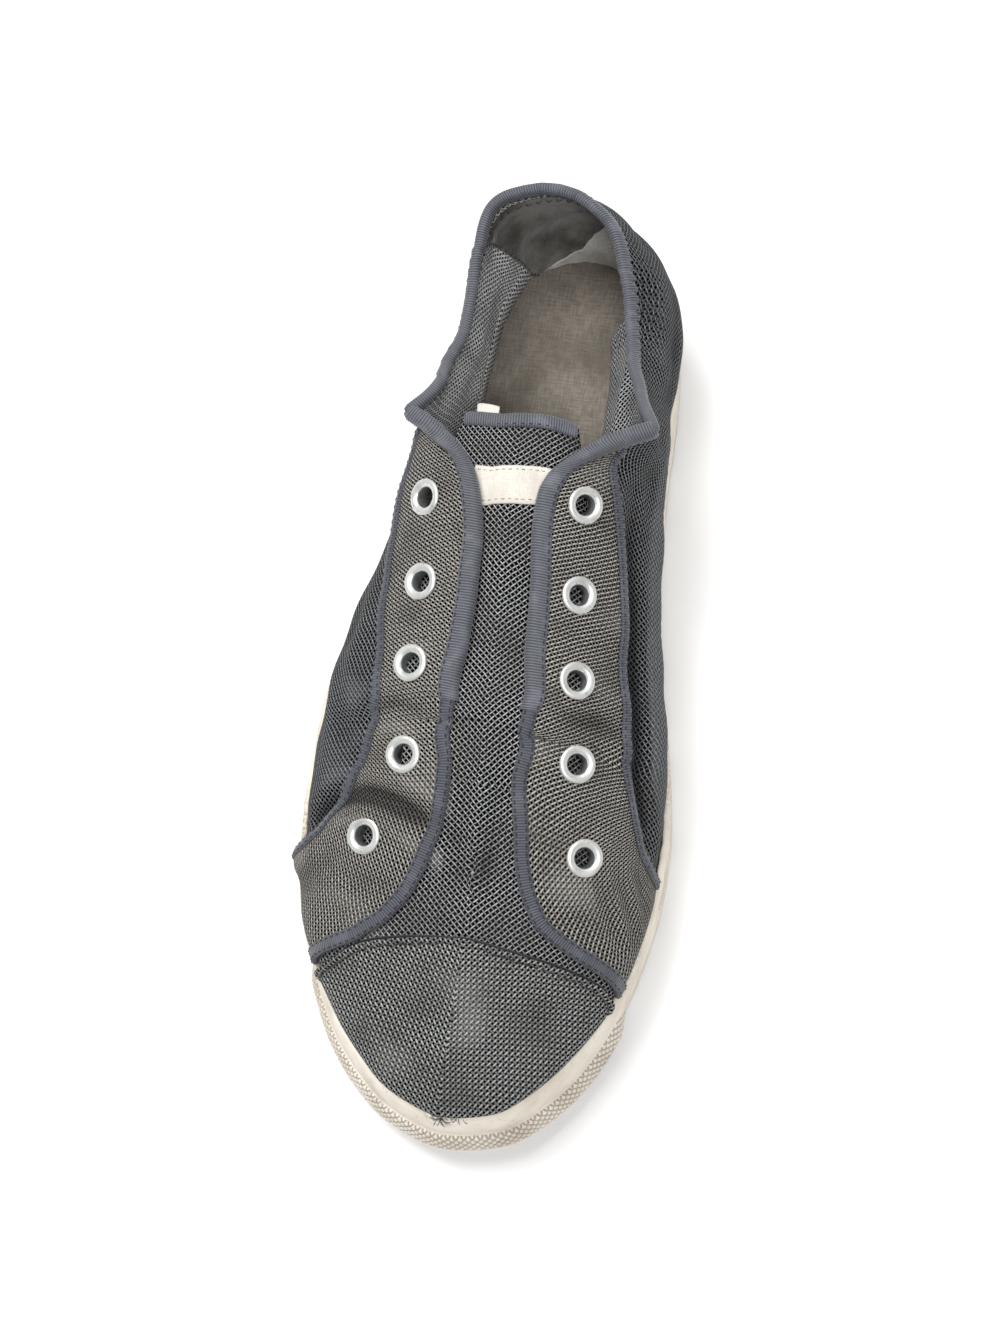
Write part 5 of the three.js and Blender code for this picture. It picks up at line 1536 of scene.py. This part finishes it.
def make_eyelets():
    profile = np.array(EYELET_PROFILE)
    angles = np.linspace(0, 2 * math.pi, EYELET_TURNS, endpoint=False)
    for side in (INNER, OUTER):
        for number, (_, middle, axis) in enumerate(EYELET_AXES[side], start=1):
            first = unit(np.cross(axis, [0, 1, 0]))
            second = np.cross(axis, first)
            spokes = np.cos(angles)[:, None] * first + np.sin(angles)[:, None] * second
            rings = middle + spokes[:, None] * profile[:, :1] + axis * profile[:, 1:]
            name = f"eyelet_{SIDE_NAMES[side]}_{number}"
            piece = tube_object(f"{name}_metal", rings, EYELET_PAINT, closed=True)
            # Faces inside the hole and behind the cloth take the darker metal, which is painted shade
            piece.data.materials.append(EYELET_HOLE_SHADE)
            for face in piece.data.polygons:
                from_middle = np.array(face.center) / MM - middle
                depth = from_middle @ axis
                away = np.linalg.norm(from_middle - depth * axis)
                face.material_index = int(away < EYELET_DARK or depth < EYELET_LOW)
            dress(piece, "eyelet_metal", name)


make_eyelets()


# Sole: foxing, toe strip, outsole and insole

SOLE_AROUND = 560
TOE_SWELL = 2.4
# Unevenness of the foxing: height of each wave, waves per station and shift
FOXING_WAVES = ((0.12, 9.0, 0), (0.1, 23.0, 1))


def sole_stations():
    """Signed stations once round the sole, evenly spaced."""
    fine = np.linspace(-BACK, BACK, 1200)
    path = outline_point(fine, np.zeros(len(fine)))
    return mix(-BACK, BACK, even_places(path, SOLE_AROUND + 1))[:-1]


def make_foxing():
    w = sole_stations()
    along = along_at(w)
    low, top = sole_bottom(along) + FOXING_LIFT, foxing_top(along)
    wavy = sum(size * np.sin(w * pace + shift) for size, pace, shift in FOXING_WAVES)
    ledge = low + FOXING_STEP_HEIGHT
    section = [
        (FOXING, low), (0.25, low), (0.0, low + 0.5), (-0.05, low + 5),
        (0.0, ledge - 1.1), (0.15, ledge - 0.35), (0.45, ledge),
        (FOXING_STEP + 0.25, ledge + 0.25), (FOXING_STEP, ledge + 1.0),
        (FOXING_STEP - 0.1, mix(ledge, top, 0.5)), (FOXING_STEP, top - 2.0),
        (FOXING_STEP + 0.2, top - 1.0), (FOXING_STEP + 0.7, top - 0.25), (FOXING_STEP + 1.3, top),
        (FOXING - 0.3, top - 0.1), (FOXING, top - 0.5),
    ]
    toe = bumper_share(along)
    rings = []
    for inset, height in section:
        above = np.clip((height - ledge) / (top - ledge), 0, 1)
        raised = height - low
        edge = foxing_inset(along) + lean_at(along, height) + inset + wavy * ramp(8, 24, raised)
        if inset < FOXING - 0.5:
            swell = TOE_SWELL * toe * (1 - above) ** 0.8
            edge = edge - swell * ramp(8, FOXING_STEP_HEIGHT, raised)
        rings.append(with_height(outline_point(w, edge), height))
    rings = np.stack(rings, axis=1)
    piece = tube_object("foxing_rubber", rings, WHITE_RUBBER, closed=True)
    dress(piece, "rubber_white", "foxing")


make_foxing()

# Toe strip: its length along the outline, steps, depth of the cuts, reach past the foxing and slope
STRIP_LENGTH = 250
STRIP_PITCH = 0.34
STRIP_STEPS = 30
STRIP_DEPTH = 0.55
STRIP_PUSH = 2.3
STRIP_SLOPE = 2.6
# The strip ends where less than this share of the bumper is left
STRIP_SHARE = 0.08
# Rounding of its lower and upper edge: inset and height, then the bare band below its upper edge
LOW_ROUND, HIGH_ROUND = (0.7, 0.7), (0.5, 0.4)
BARE_BAND = (1.4, 0.8)


def make_toe_strip():
    """The strip round the toe, its diamonds cut into its mesh."""
    w = sole_stations()
    w = w[bumper_share(along_at(w)) > STRIP_SHARE]
    steps = int(STRIP_LENGTH / STRIP_PITCH)
    w = mix(w[0], w[-1], even_places(outline_point(w, np.zeros(len(w))), steps))
    along = along_at(w)
    toe = bumper_share(along)
    low = sole_bottom(along) + FOXING_LIFT
    tall = FOXING_STEP_HEIGHT - 0.2
    path = path_lengths(outline_point(w, np.zeros(len(w))))
    rings, cloth = [], []
    for height in np.linspace(0, tall, STRIP_STEPS):
        first = np.mod(path * DIAMOND_ACROSS + height * DIAMOND_UP, 1)
        second = np.mod(path * DIAMOND_ACROSS - height * DIAMOND_UP, 1)
        cut = np.minimum(np.sin(math.pi * first), np.sin(math.pi * second))
        cut = mix(cut, 1, float(ramp(tall - BARE_BAND[0], tall - BARE_BAND[1], height)))
        edge_round = LOW_ROUND[0] * math.exp(-height / LOW_ROUND[1])
        edge_round += HIGH_ROUND[0] * math.exp(-(tall - height) / HIGH_ROUND[1])
        inset = STRIP_DEPTH * (1 - ramp(0.05, 0.7, cut)) + edge_round
        inset = inset + STRIP_SLOPE * (height / tall) ** 1.6 - STRIP_PUSH
        inset = mix(foxing_inset(along) + 0.4, inset, ramp(0.0, 0.35, toe))
        rings.append(with_height(outline_point(w, inset), low + height))
        cloth.append(np.stack([path, np.full(len(path), height)], axis=-1))
    for height in (tall, 0.0):
        rings.append(with_height(outline_point(w, foxing_inset(along) + 1.2), low + height))
        cloth.append(np.stack([path, np.full(len(path), height)], axis=-1))
    rings, cloth = np.stack(rings, axis=1), np.stack(cloth, axis=1)
    piece = tube_object("toe_strip_rubber", rings, STRIP_RUBBER, cloth=cloth)
    dress(piece, "rubber_white", "toe_bumper")


make_toe_strip()

# The outsole keeps the shape of its solid and takes the same rubber
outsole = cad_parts["outsole"]
outsole.data.materials.clear()
outsole.data.materials.append(WHITE_RUBBER)

INSOLE_ROWS, INSOLE_ACROSS = 150, 44
# The insole is dished but for its middle: depth, then where it flattens and dishes again
INSOLE_DISH = 1.3
DISH_ENDS, DISH_RETURNS = (0.35, 0.6), (0.68, 0.8)
# Shallow dents of a worn insole: depth and waves per millimetre across and along
DENT_DEPTH, DENT_WAVES = 0.25, (0.17, 0.11)


def make_insole():
    station = np.linspace(0.02, BACK - 0.02, INSOLE_ROWS)
    edges = []
    for side in (OUTER, INNER):
        w = side * station
        along = along_at(w)
        height = sole_top(along)
        inset = foxing_inset(along) + FOXING + 2 * CLEARANCE + lean_at(along, height) + WALL + 0.2
        edges.append(outline_point(w, inset))
    shares = np.linspace(0, 1, INSOLE_ACROSS)
    plan = mix(edges[0][:, None], edges[1][:, None], shares[None, :, None])
    along = plan[..., 1] / LENGTH + 0.5
    rim = 1 - np.abs(2 * shares - 1) ** 4
    flat = ramp(*DISH_ENDS, along) * (1 - ramp(*DISH_RETURNS, along))
    dish = INSOLE_DISH * rim * (1 - flat)
    dent = DENT_DEPTH * np.sin(plan[..., 1] * DENT_WAVES[1]) * np.sin(plan[..., 0] * DENT_WAVES[0])
    floor = sole_top(along) + CLEARANCE
    top = with_height(plan, floor + INSOLE + 0.5 - dish * 0.7 + dent * rim)
    bottom = with_height(plan, floor)
    piece = sheet_object("insole_cloth", top, bottom, plan - [0, plan[0, 0, 1]], INSOLE_CLOTH)
    dress(piece, "insole_canvas", "insole")


make_insole()


# Lining patch round the heel, and the paler strip beside it

PATCH_OUTER, PATCH_INNER = -14.4, 15.4
PATCH_LEAN = 1.25
PATCH_THICK = 0.8
PATCH_COLUMNS, STRIP_COLUMNS, LINING_ROWS = 110, 90, 46
# How far the linings end below the collar's edge, and the height and waves of their rumples
LINING_GAP = 5.0
RUMPLE, RUMPLE_WAVES = 0.2, (13, 9)


def inside_floor(w):
    """Height value at which the inside of the wall meets the insole."""
    along = along_at(w)
    low, high = upper_foot(w, np.zeros(w.shape))[..., 2], upper_foot(w, np.ones(w.shape))[..., 2]
    return (sole_top(along) + CLEARANCE + INSOLE - 0.5 - high) / (high - low)


def lining_sheet(name, w_edge, top_shares, lean, material, slot, lift, nodes=()):
    """A cloth on the inside of the heel between the insole and a share of the way to the collar."""
    shares = np.linspace(0, 1, LINING_ROWS)
    grid_w = w_edge[:, None] - lean[:, None] * (1 - shares)
    grid_w = np.where(grid_w > BACK, grid_w - LOOP, grid_w)
    bottom = inside_floor(grid_w)
    height = mix(bottom, below_edge(grid_w, LINING_GAP), top_shares[:, None] * shares)
    rumple = RUMPLE * np.sin(grid_w * RUMPLE_WAVES[0]) * np.sin(height * RUMPLE_WAVES[1])
    rim = np.minimum(shares, 1 - shares)
    ends = np.minimum(np.arange(len(w_edge)), np.arange(len(w_edge))[::-1])[:, None] / 3
    soft = np.clip(np.minimum(rim / 0.04, ends), 0, 1)
    slack = slack_lining(grid_w, height)
    thick = PATCH_THICK * mix(0.4, 1, soft)
    front = on_upper(grid_w, height, -WALL - slack - lift - thick + rumple * soft)
    back = on_upper(grid_w, height, -WALL - slack - 0.05)
    piece = sheet_object(name, front, back, flat_places(front), material)
    dress(piece, slot, *nodes)
    return front


patch_w = np.linspace(PATCH_OUTER + LOOP, PATCH_INNER, PATCH_COLUMNS)
patch_share = mix(0.97, 0.99, np.linspace(0, 1, PATCH_COLUMNS))
patch_lean = PATCH_LEAN * ramp(60, 0, np.arange(PATCH_COLUMNS))
patch_front = lining_sheet(
    "heel_patch", patch_w, patch_share, patch_lean, PATCH_CLOTH, "lining_suede", 0.15, ["heel_lining"],
)
strip_w = np.linspace(18.35, 14.5, STRIP_COLUMNS)
strip_share = mix(0.03, 0.9, ramp(18.5, 15.2, strip_w))
strip_lean = np.zeros(STRIP_COLUMNS)
lining_sheet("heel_strip", strip_w, strip_share, strip_lean, STRIP_CLOTH, "insole_canvas", 0.55)

# The loose lining: its ends, the stations between which it hangs fully, how far it hangs, its
# thickness and its distance from the collar's edge
LOOSE_START, LOOSE_END = 10.7, 15.5
LOOSE_FULL = (12.0, 14.0)
LOOSE_HANG = 16.5
LOOSE_THICK = 0.7
LOOSE_GAP = 4.0


def make_loose_lining():
    """The inner side's lining, come loose and hanging in over the edge of the insole."""
    w = np.linspace(LOOSE_START, LOOSE_END, 100)
    shares = np.linspace(0, 1, 44)
    height = mix(inside_floor(w)[:, None], below_edge(w, LOOSE_GAP)[:, None], shares)
    grid_w = np.broadcast_to(w[:, None], height.shape)
    hang = LOOSE_HANG * ramp(LOOSE_START, LOOSE_FULL[0], grid_w)
    hang = hang * ramp(LOOSE_END, LOOSE_FULL[1], grid_w) * ramp(1.0, 0.1, shares)
    rumple = 0.25 * np.sin(grid_w * 9 + 2 * shares) * np.sin(shares * 7)
    front = on_upper(grid_w, height, -WALL - 0.1 - LOOSE_THICK - hang - rumple * ramp(0, 3, hang))
    back = on_upper(grid_w, height, -WALL - 0.1 - hang)
    dress(sheet_object("loose_lining", front, back, flat_places(front), LOOSE_CLOTH), "mesh_grey")


make_loose_lining()


# Stitches

class Stitches:
    """Collects stitches, each a short rounded thread sunk at both ends, into one joined mesh."""
    SIDES = 6
    RINGS = 6

    def __init__(self):
        self.points = []
        self.faces = []

    def row(self, path, normals, pitch, length, radius, sink=0.25):
        """A row of stitches along a path on the cloth."""
        lengths = path_lengths(path)
        count = max(2, int(lengths[-1] / pitch))
        middles = (np.arange(count) + 0.5) * lengths[-1] / count
        along = np.linspace(-0.5, 0.5, self.RINGS)
        at = middles[:, None] + along * length
        index = np.interp(at, lengths, np.arange(len(path)))
        self.add(at_index(path, index), unit(at_index(normals, index)), along, radius, sink)

    def add(self, centre, normal, along, radius, sink):
        """Stitches along centre lines, arched and thinner at their ends."""
        heading = unit(np.gradient(centre, axis=1))
        beside_it = unit(np.cross(heading, normal))
        arch = 1 - (2 * along) ** 2
        centre = centre + normal * sink * (arch[None, :, None] - 0.72)
        angle = np.linspace(0, 2 * math.pi, self.SIDES, endpoint=False)
        size = radius * np.sqrt(np.clip(arch + 0.25, 0, 1))[None, :, None, None]
        rings = centre[:, :, None] + size * (
            np.cos(angle)[:, None] * beside_it[:, :, None] + np.sin(angle)[:, None] * normal[:, :, None]
        )
        caps = np.array([[0, 1, 2, 3], [0, 3, 4, 5]])
        stitch_faces = np.vstack([
            grid_faces(self.RINGS, self.SIDES, False, True),
            caps[:, ::-1], caps + (self.RINGS - 1) * self.SIDES,
        ])
        size_each = self.RINGS * self.SIDES
        start = sum(map(len, self.points))
        offsets = start + np.arange(len(rings))[:, None, None] * size_each
        self.points.append(rings.reshape(-1, 3))
        self.faces.append((stitch_faces[None] + offsets).reshape(-1, 4))

    def build(self, name, material, slot):
        piece = make_object(name, np.vstack(self.points), np.vstack(self.faces), materials=[material])
        return dress(piece, slot)


# Distance of the two seams of a tape from its middle, and the height of its surface there
FRONT_SEAMS, FRONT_TOP = 1.35, 1.93
REAR_SEAMS, REAR_TOP = 0.85, 1.74
# Pitch, length and radius of the stitches, and how far they sink in where that isn't the usual
SEAM = (2.3, 1.6, 0.24)
CAP_SEAM_STITCH = (2.4, 1.5, 0.32, 0.2)
# The last is a dark cord of overlapping stitches, a painted shadow line along the cap's folded edge
CAP_SHADOW_CORD = (2.0, 2.4, 0.4, 0.05)
LABEL_STITCH = (1.9, 1.3, 0.17)
SEAM_POINTS = 260
UPRIGHT = [0.0, 0, 1]


def line_on_upper(side, line, start, end, distance, offset):
    """Path and normals of a seam beside a line, on top of what is there."""
    places = np.linspace(start, end, SEAM_POINTS)
    w, height = beside(side, line, places, np.full(SEAM_POINTS, float(distance)))
    return on_upper(w, height, offset), surface_frame(w, height)[0]


def make_tape_seams():
    """Seams on the tapes and bindings, and over the tongue's taped edge."""
    seams = Stitches()
    tapes = ((FRONT_LINE, FRONT_SEAMS, 1.0, FRONT_TOP), (REAR_LINE, REAR_SEAMS, 0.06, REAR_TOP))
    for side in (INNER, OUTER):
        for lines, away, start, top in tapes:
            for distance in (-away, away):
                seams.row(*line_on_upper(side, lines[side], start, LINE_END, distance, top), *SEAM)
        w = even_stations(side * THROAT_LOW, side * THROAT_TOP, TAPE_PITCH)
        seams.row(on_upper(w, below_edge(w, 3.7), 2.0), surface_frame(w, 1.0)[0], *SEAM)
    outwards = surface_frame(collar_w, 1.0)[0]
    seams.row(on_upper(collar_w, below_edge(collar_w, 2.6), 0.88), outwards, *SEAM)
    seams.row(on_upper(collar_w, below_edge(collar_w, 2.7), -WALL - 0.66), -outwards, *SEAM)
    edge = tongue_top[-1][3:-3] - tongue_heading * 2.6 + np.array([0, 0, 0.95])
    seams.row(edge, np.broadcast_to(UPRIGHT, edge.shape), *SEAM)
    seams.build("tape_stitches", DARK_THREAD, "tape_blue")


make_tape_seams()


def cap_seam_path(side, away, lift):
    """Path and normals a distance in front of the cap's seam, from the foxing up."""
    height = np.linspace(0.02, 0.985, 120)
    station = CAP_SEAM[side](height)[:, 0]
    edge = smooth_point(side * station, height)
    step = math.copysign(0.2, away)
    moved = smooth_point(side * (station - step), height)
    per_station = np.linalg.norm(edge - moved, axis=1) / abs(step)
    w = side * (station - away / np.maximum(per_station, 4))
    return on_upper(w, height, lift), surface_frame(w, height)[0]


def make_cap_seams():
    """The seam beside the cap's folded edge, and a dark cord of overlapping stitches in front of that
    edge, as a painted shadow line.
    """
    seams = Stitches()
    sides = [cap_seam_path(side, 1.9, PANEL_TOP + 0.05) for side in (OUTER, INNER)]
    path, normals = (np.vstack([outer[:-8], inner[-9::-1]]) for outer, inner in zip(*sides))
    seams.row(path, normals, *CAP_SEAM_STITCH)
    # A dark cord in front of the folded edge, as its painted shadow line
    sides = [cap_seam_path(side, -0.55, 0.15) for side in (OUTER, INNER)]
    path, normals = (np.vstack([outer, inner[::-1]]) for outer, inner in zip(*sides))
    seams.row(path, normals, *CAP_SHADOW_CORD)
    seams.build("cap_seam_and_shadow_cord", DARK_THREAD, "mesh_grey")


make_cap_seams()


def make_label_seams():
    seams = Stitches()
    columns = np.arange(LABEL_COLUMNS[0] + 1, LABEL_COLUMNS[1] - 1)
    for back in (LABEL_FAR + 1.3, LABEL_FAR + LABEL_HEIGHT - 1.3):
        path = on_tongue(columns, np.full(len(columns), back)) + np.array([0, 0, 0.75])
        seams.row(path, np.broadcast_to(UPRIGHT, path.shape), *LABEL_STITCH)
    seams.build("label_stitches", PALE_THREAD, "label_white")


make_label_seams()

# Zigzag of the heel patch: its pitch, half its width, and the radius and sink of its thread
ZIGZAG_PITCH, ZIGZAG_REACH = 1.5, 0.9
ZIGZAG_THREAD = (0.2, 0.1)


def zigzag_seam():
    """Zigzag round the edge of the heel patch."""
    seam = Stitches()
    middle = patch_front.reshape(-1, 3).mean(axis=0)
    along = np.linspace(-0.5, 0.5, Stitches.RINGS)
    for path in (patch_front[:, -2], patch_front[2, ::-1], patch_front[-3]):
        lengths = path_lengths(path)
        count = int(lengths[-1] / ZIGZAG_PITCH)
        index = np.interp(np.linspace(0, lengths[-1], count), lengths, np.arange(len(path)))
        points = at_index(path, index)
        normals = unit((middle - points) * np.array([1, 1, 0.3]))
        inwards = np.cross(unit(np.gradient(points, axis=0)), normals)
        points = points + inwards * (ZIGZAG_REACH * np.where(np.arange(count) % 2, 1, -1))[:, None]
        centre = mix(points[:-1, None], points[1:, None], (along + 0.5)[None, :, None])
        seam.add(centre, np.broadcast_to(normals[:-1, None], centre.shape), along, *ZIGZAG_THREAD)
    seam.build("patch_stitches", GREY_THREAD, "lining_suede")


zigzag_seam()


# Frayed threads where the cap meets the foxing at the scuffed toe

FRAY_COUNT = 11
FRAY_SEED = 11
# Ranges of their stations, heights and lengths, then their curl, droop and radius
FRAY_STATIONS, FRAY_HEIGHTS, FRAY_REACH = (-0.1, 0.45), (0.0, 0.03), (1.5, 4.2)
FRAY_CURL, FRAY_DROOP, FRAY_RADIUS = 1.2, 0.35, 0.13


def make_frays():
    chance = np.random.default_rng(FRAY_SEED)
    frays = Stitches()
    along = np.linspace(-0.5, 0.5, Stitches.RINGS)
    shares = (along + 0.5)[:, None]
    for _ in range(FRAY_COUNT):
        w = np.array(float(chance.uniform(*FRAY_STATIONS)))
        root = on_upper(w, np.array(float(chance.uniform(*FRAY_HEIGHTS))), PANEL_TOP)
        out = surface_frame(w, 0.02)[0]
        heading = unit(np.array([chance.uniform(-1, 1), chance.uniform(-0.7, 0.3), 0.0]))
        reach = chance.uniform(*FRAY_REACH)
        curl = np.array([chance.uniform(-1, 1), chance.uniform(-0.6, 0.6), 0.0]) * FRAY_CURL
        path = root + heading * reach * shares + curl * shares ** 2
        path = path + out * 0.5 * np.sin(np.pi * shares)
        path = path - np.array([0, 0, FRAY_DROOP]) * shares * reach
        frays.add(path[None], np.broadcast_to(out, path[None].shape), along, FRAY_RADIUS, 0.0)
    frays.build("toe_frays", DARK_THREAD, "mesh_grey")


make_frays()


# Floor, light and background

# The floor lies this far below the sole, in millimetres, and reaches this far each way
FLOOR_DROP = 0.3
FLOOR_REACH = 6000
WORLD_STRENGTH = 0.3
# Area lights: name, place in metres, size and watts
LIGHTS = [
    ("key", (-0.38, 0.28, 1.2), 0.55, 14.5),
    ("front", (0.25, -0.4, 1.2), 0.35, 8.0),
    ("back", (0.1, 1.1, 0.9), 0.8, 2.0),
]


def plain(name, shade, roughness):
    """A plain surface, faintly uneven in its colour."""
    paint = Paint(name, roughness)
    grain = paint.noise(paint.place(), size=60.0)
    paint.colour(paint.mix(grain, tone(*shade), tone(*(channel - 4 for channel in shade))))
    return paint.material


def make_stage():
    turns = ((-1, -1), (1, -1), (1, 1), (-1, 1))
    corners = [[x * FLOOR_REACH, y * FLOOR_REACH, -FLOOR_DROP] for x, y in turns]
    white = plain("floor", (243, 243, 243), 0.9)
    floor = make_object("floor", corners, [[0, 1, 2, 3]], materials=[white])
    for name, place, size, power in LIGHTS:
        data = bpy.data.lights.new(name, "AREA")
        data.size = size
        data.energy = power
        lamp = bpy.data.objects.new(name, data)
        lamp.location = place
        lamp.rotation_mode = "QUATERNION"
        lamp.rotation_quaternion = (-Vector(place)).to_track_quat("-Z", "Y")
        bpy.context.scene.collection.objects.link(lamp)
    world = bpy.data.worlds.new("world")
    world.use_nodes = True
    background = world.node_tree.nodes["Background"]
    background.inputs["Color"].default_value = (1, 1, 1, 1)
    background.inputs["Strength"].default_value = WORLD_STRENGTH
    bpy.context.scene.world = world
    bpy.context.scene.view_settings.view_transform = "Standard"


make_stage()
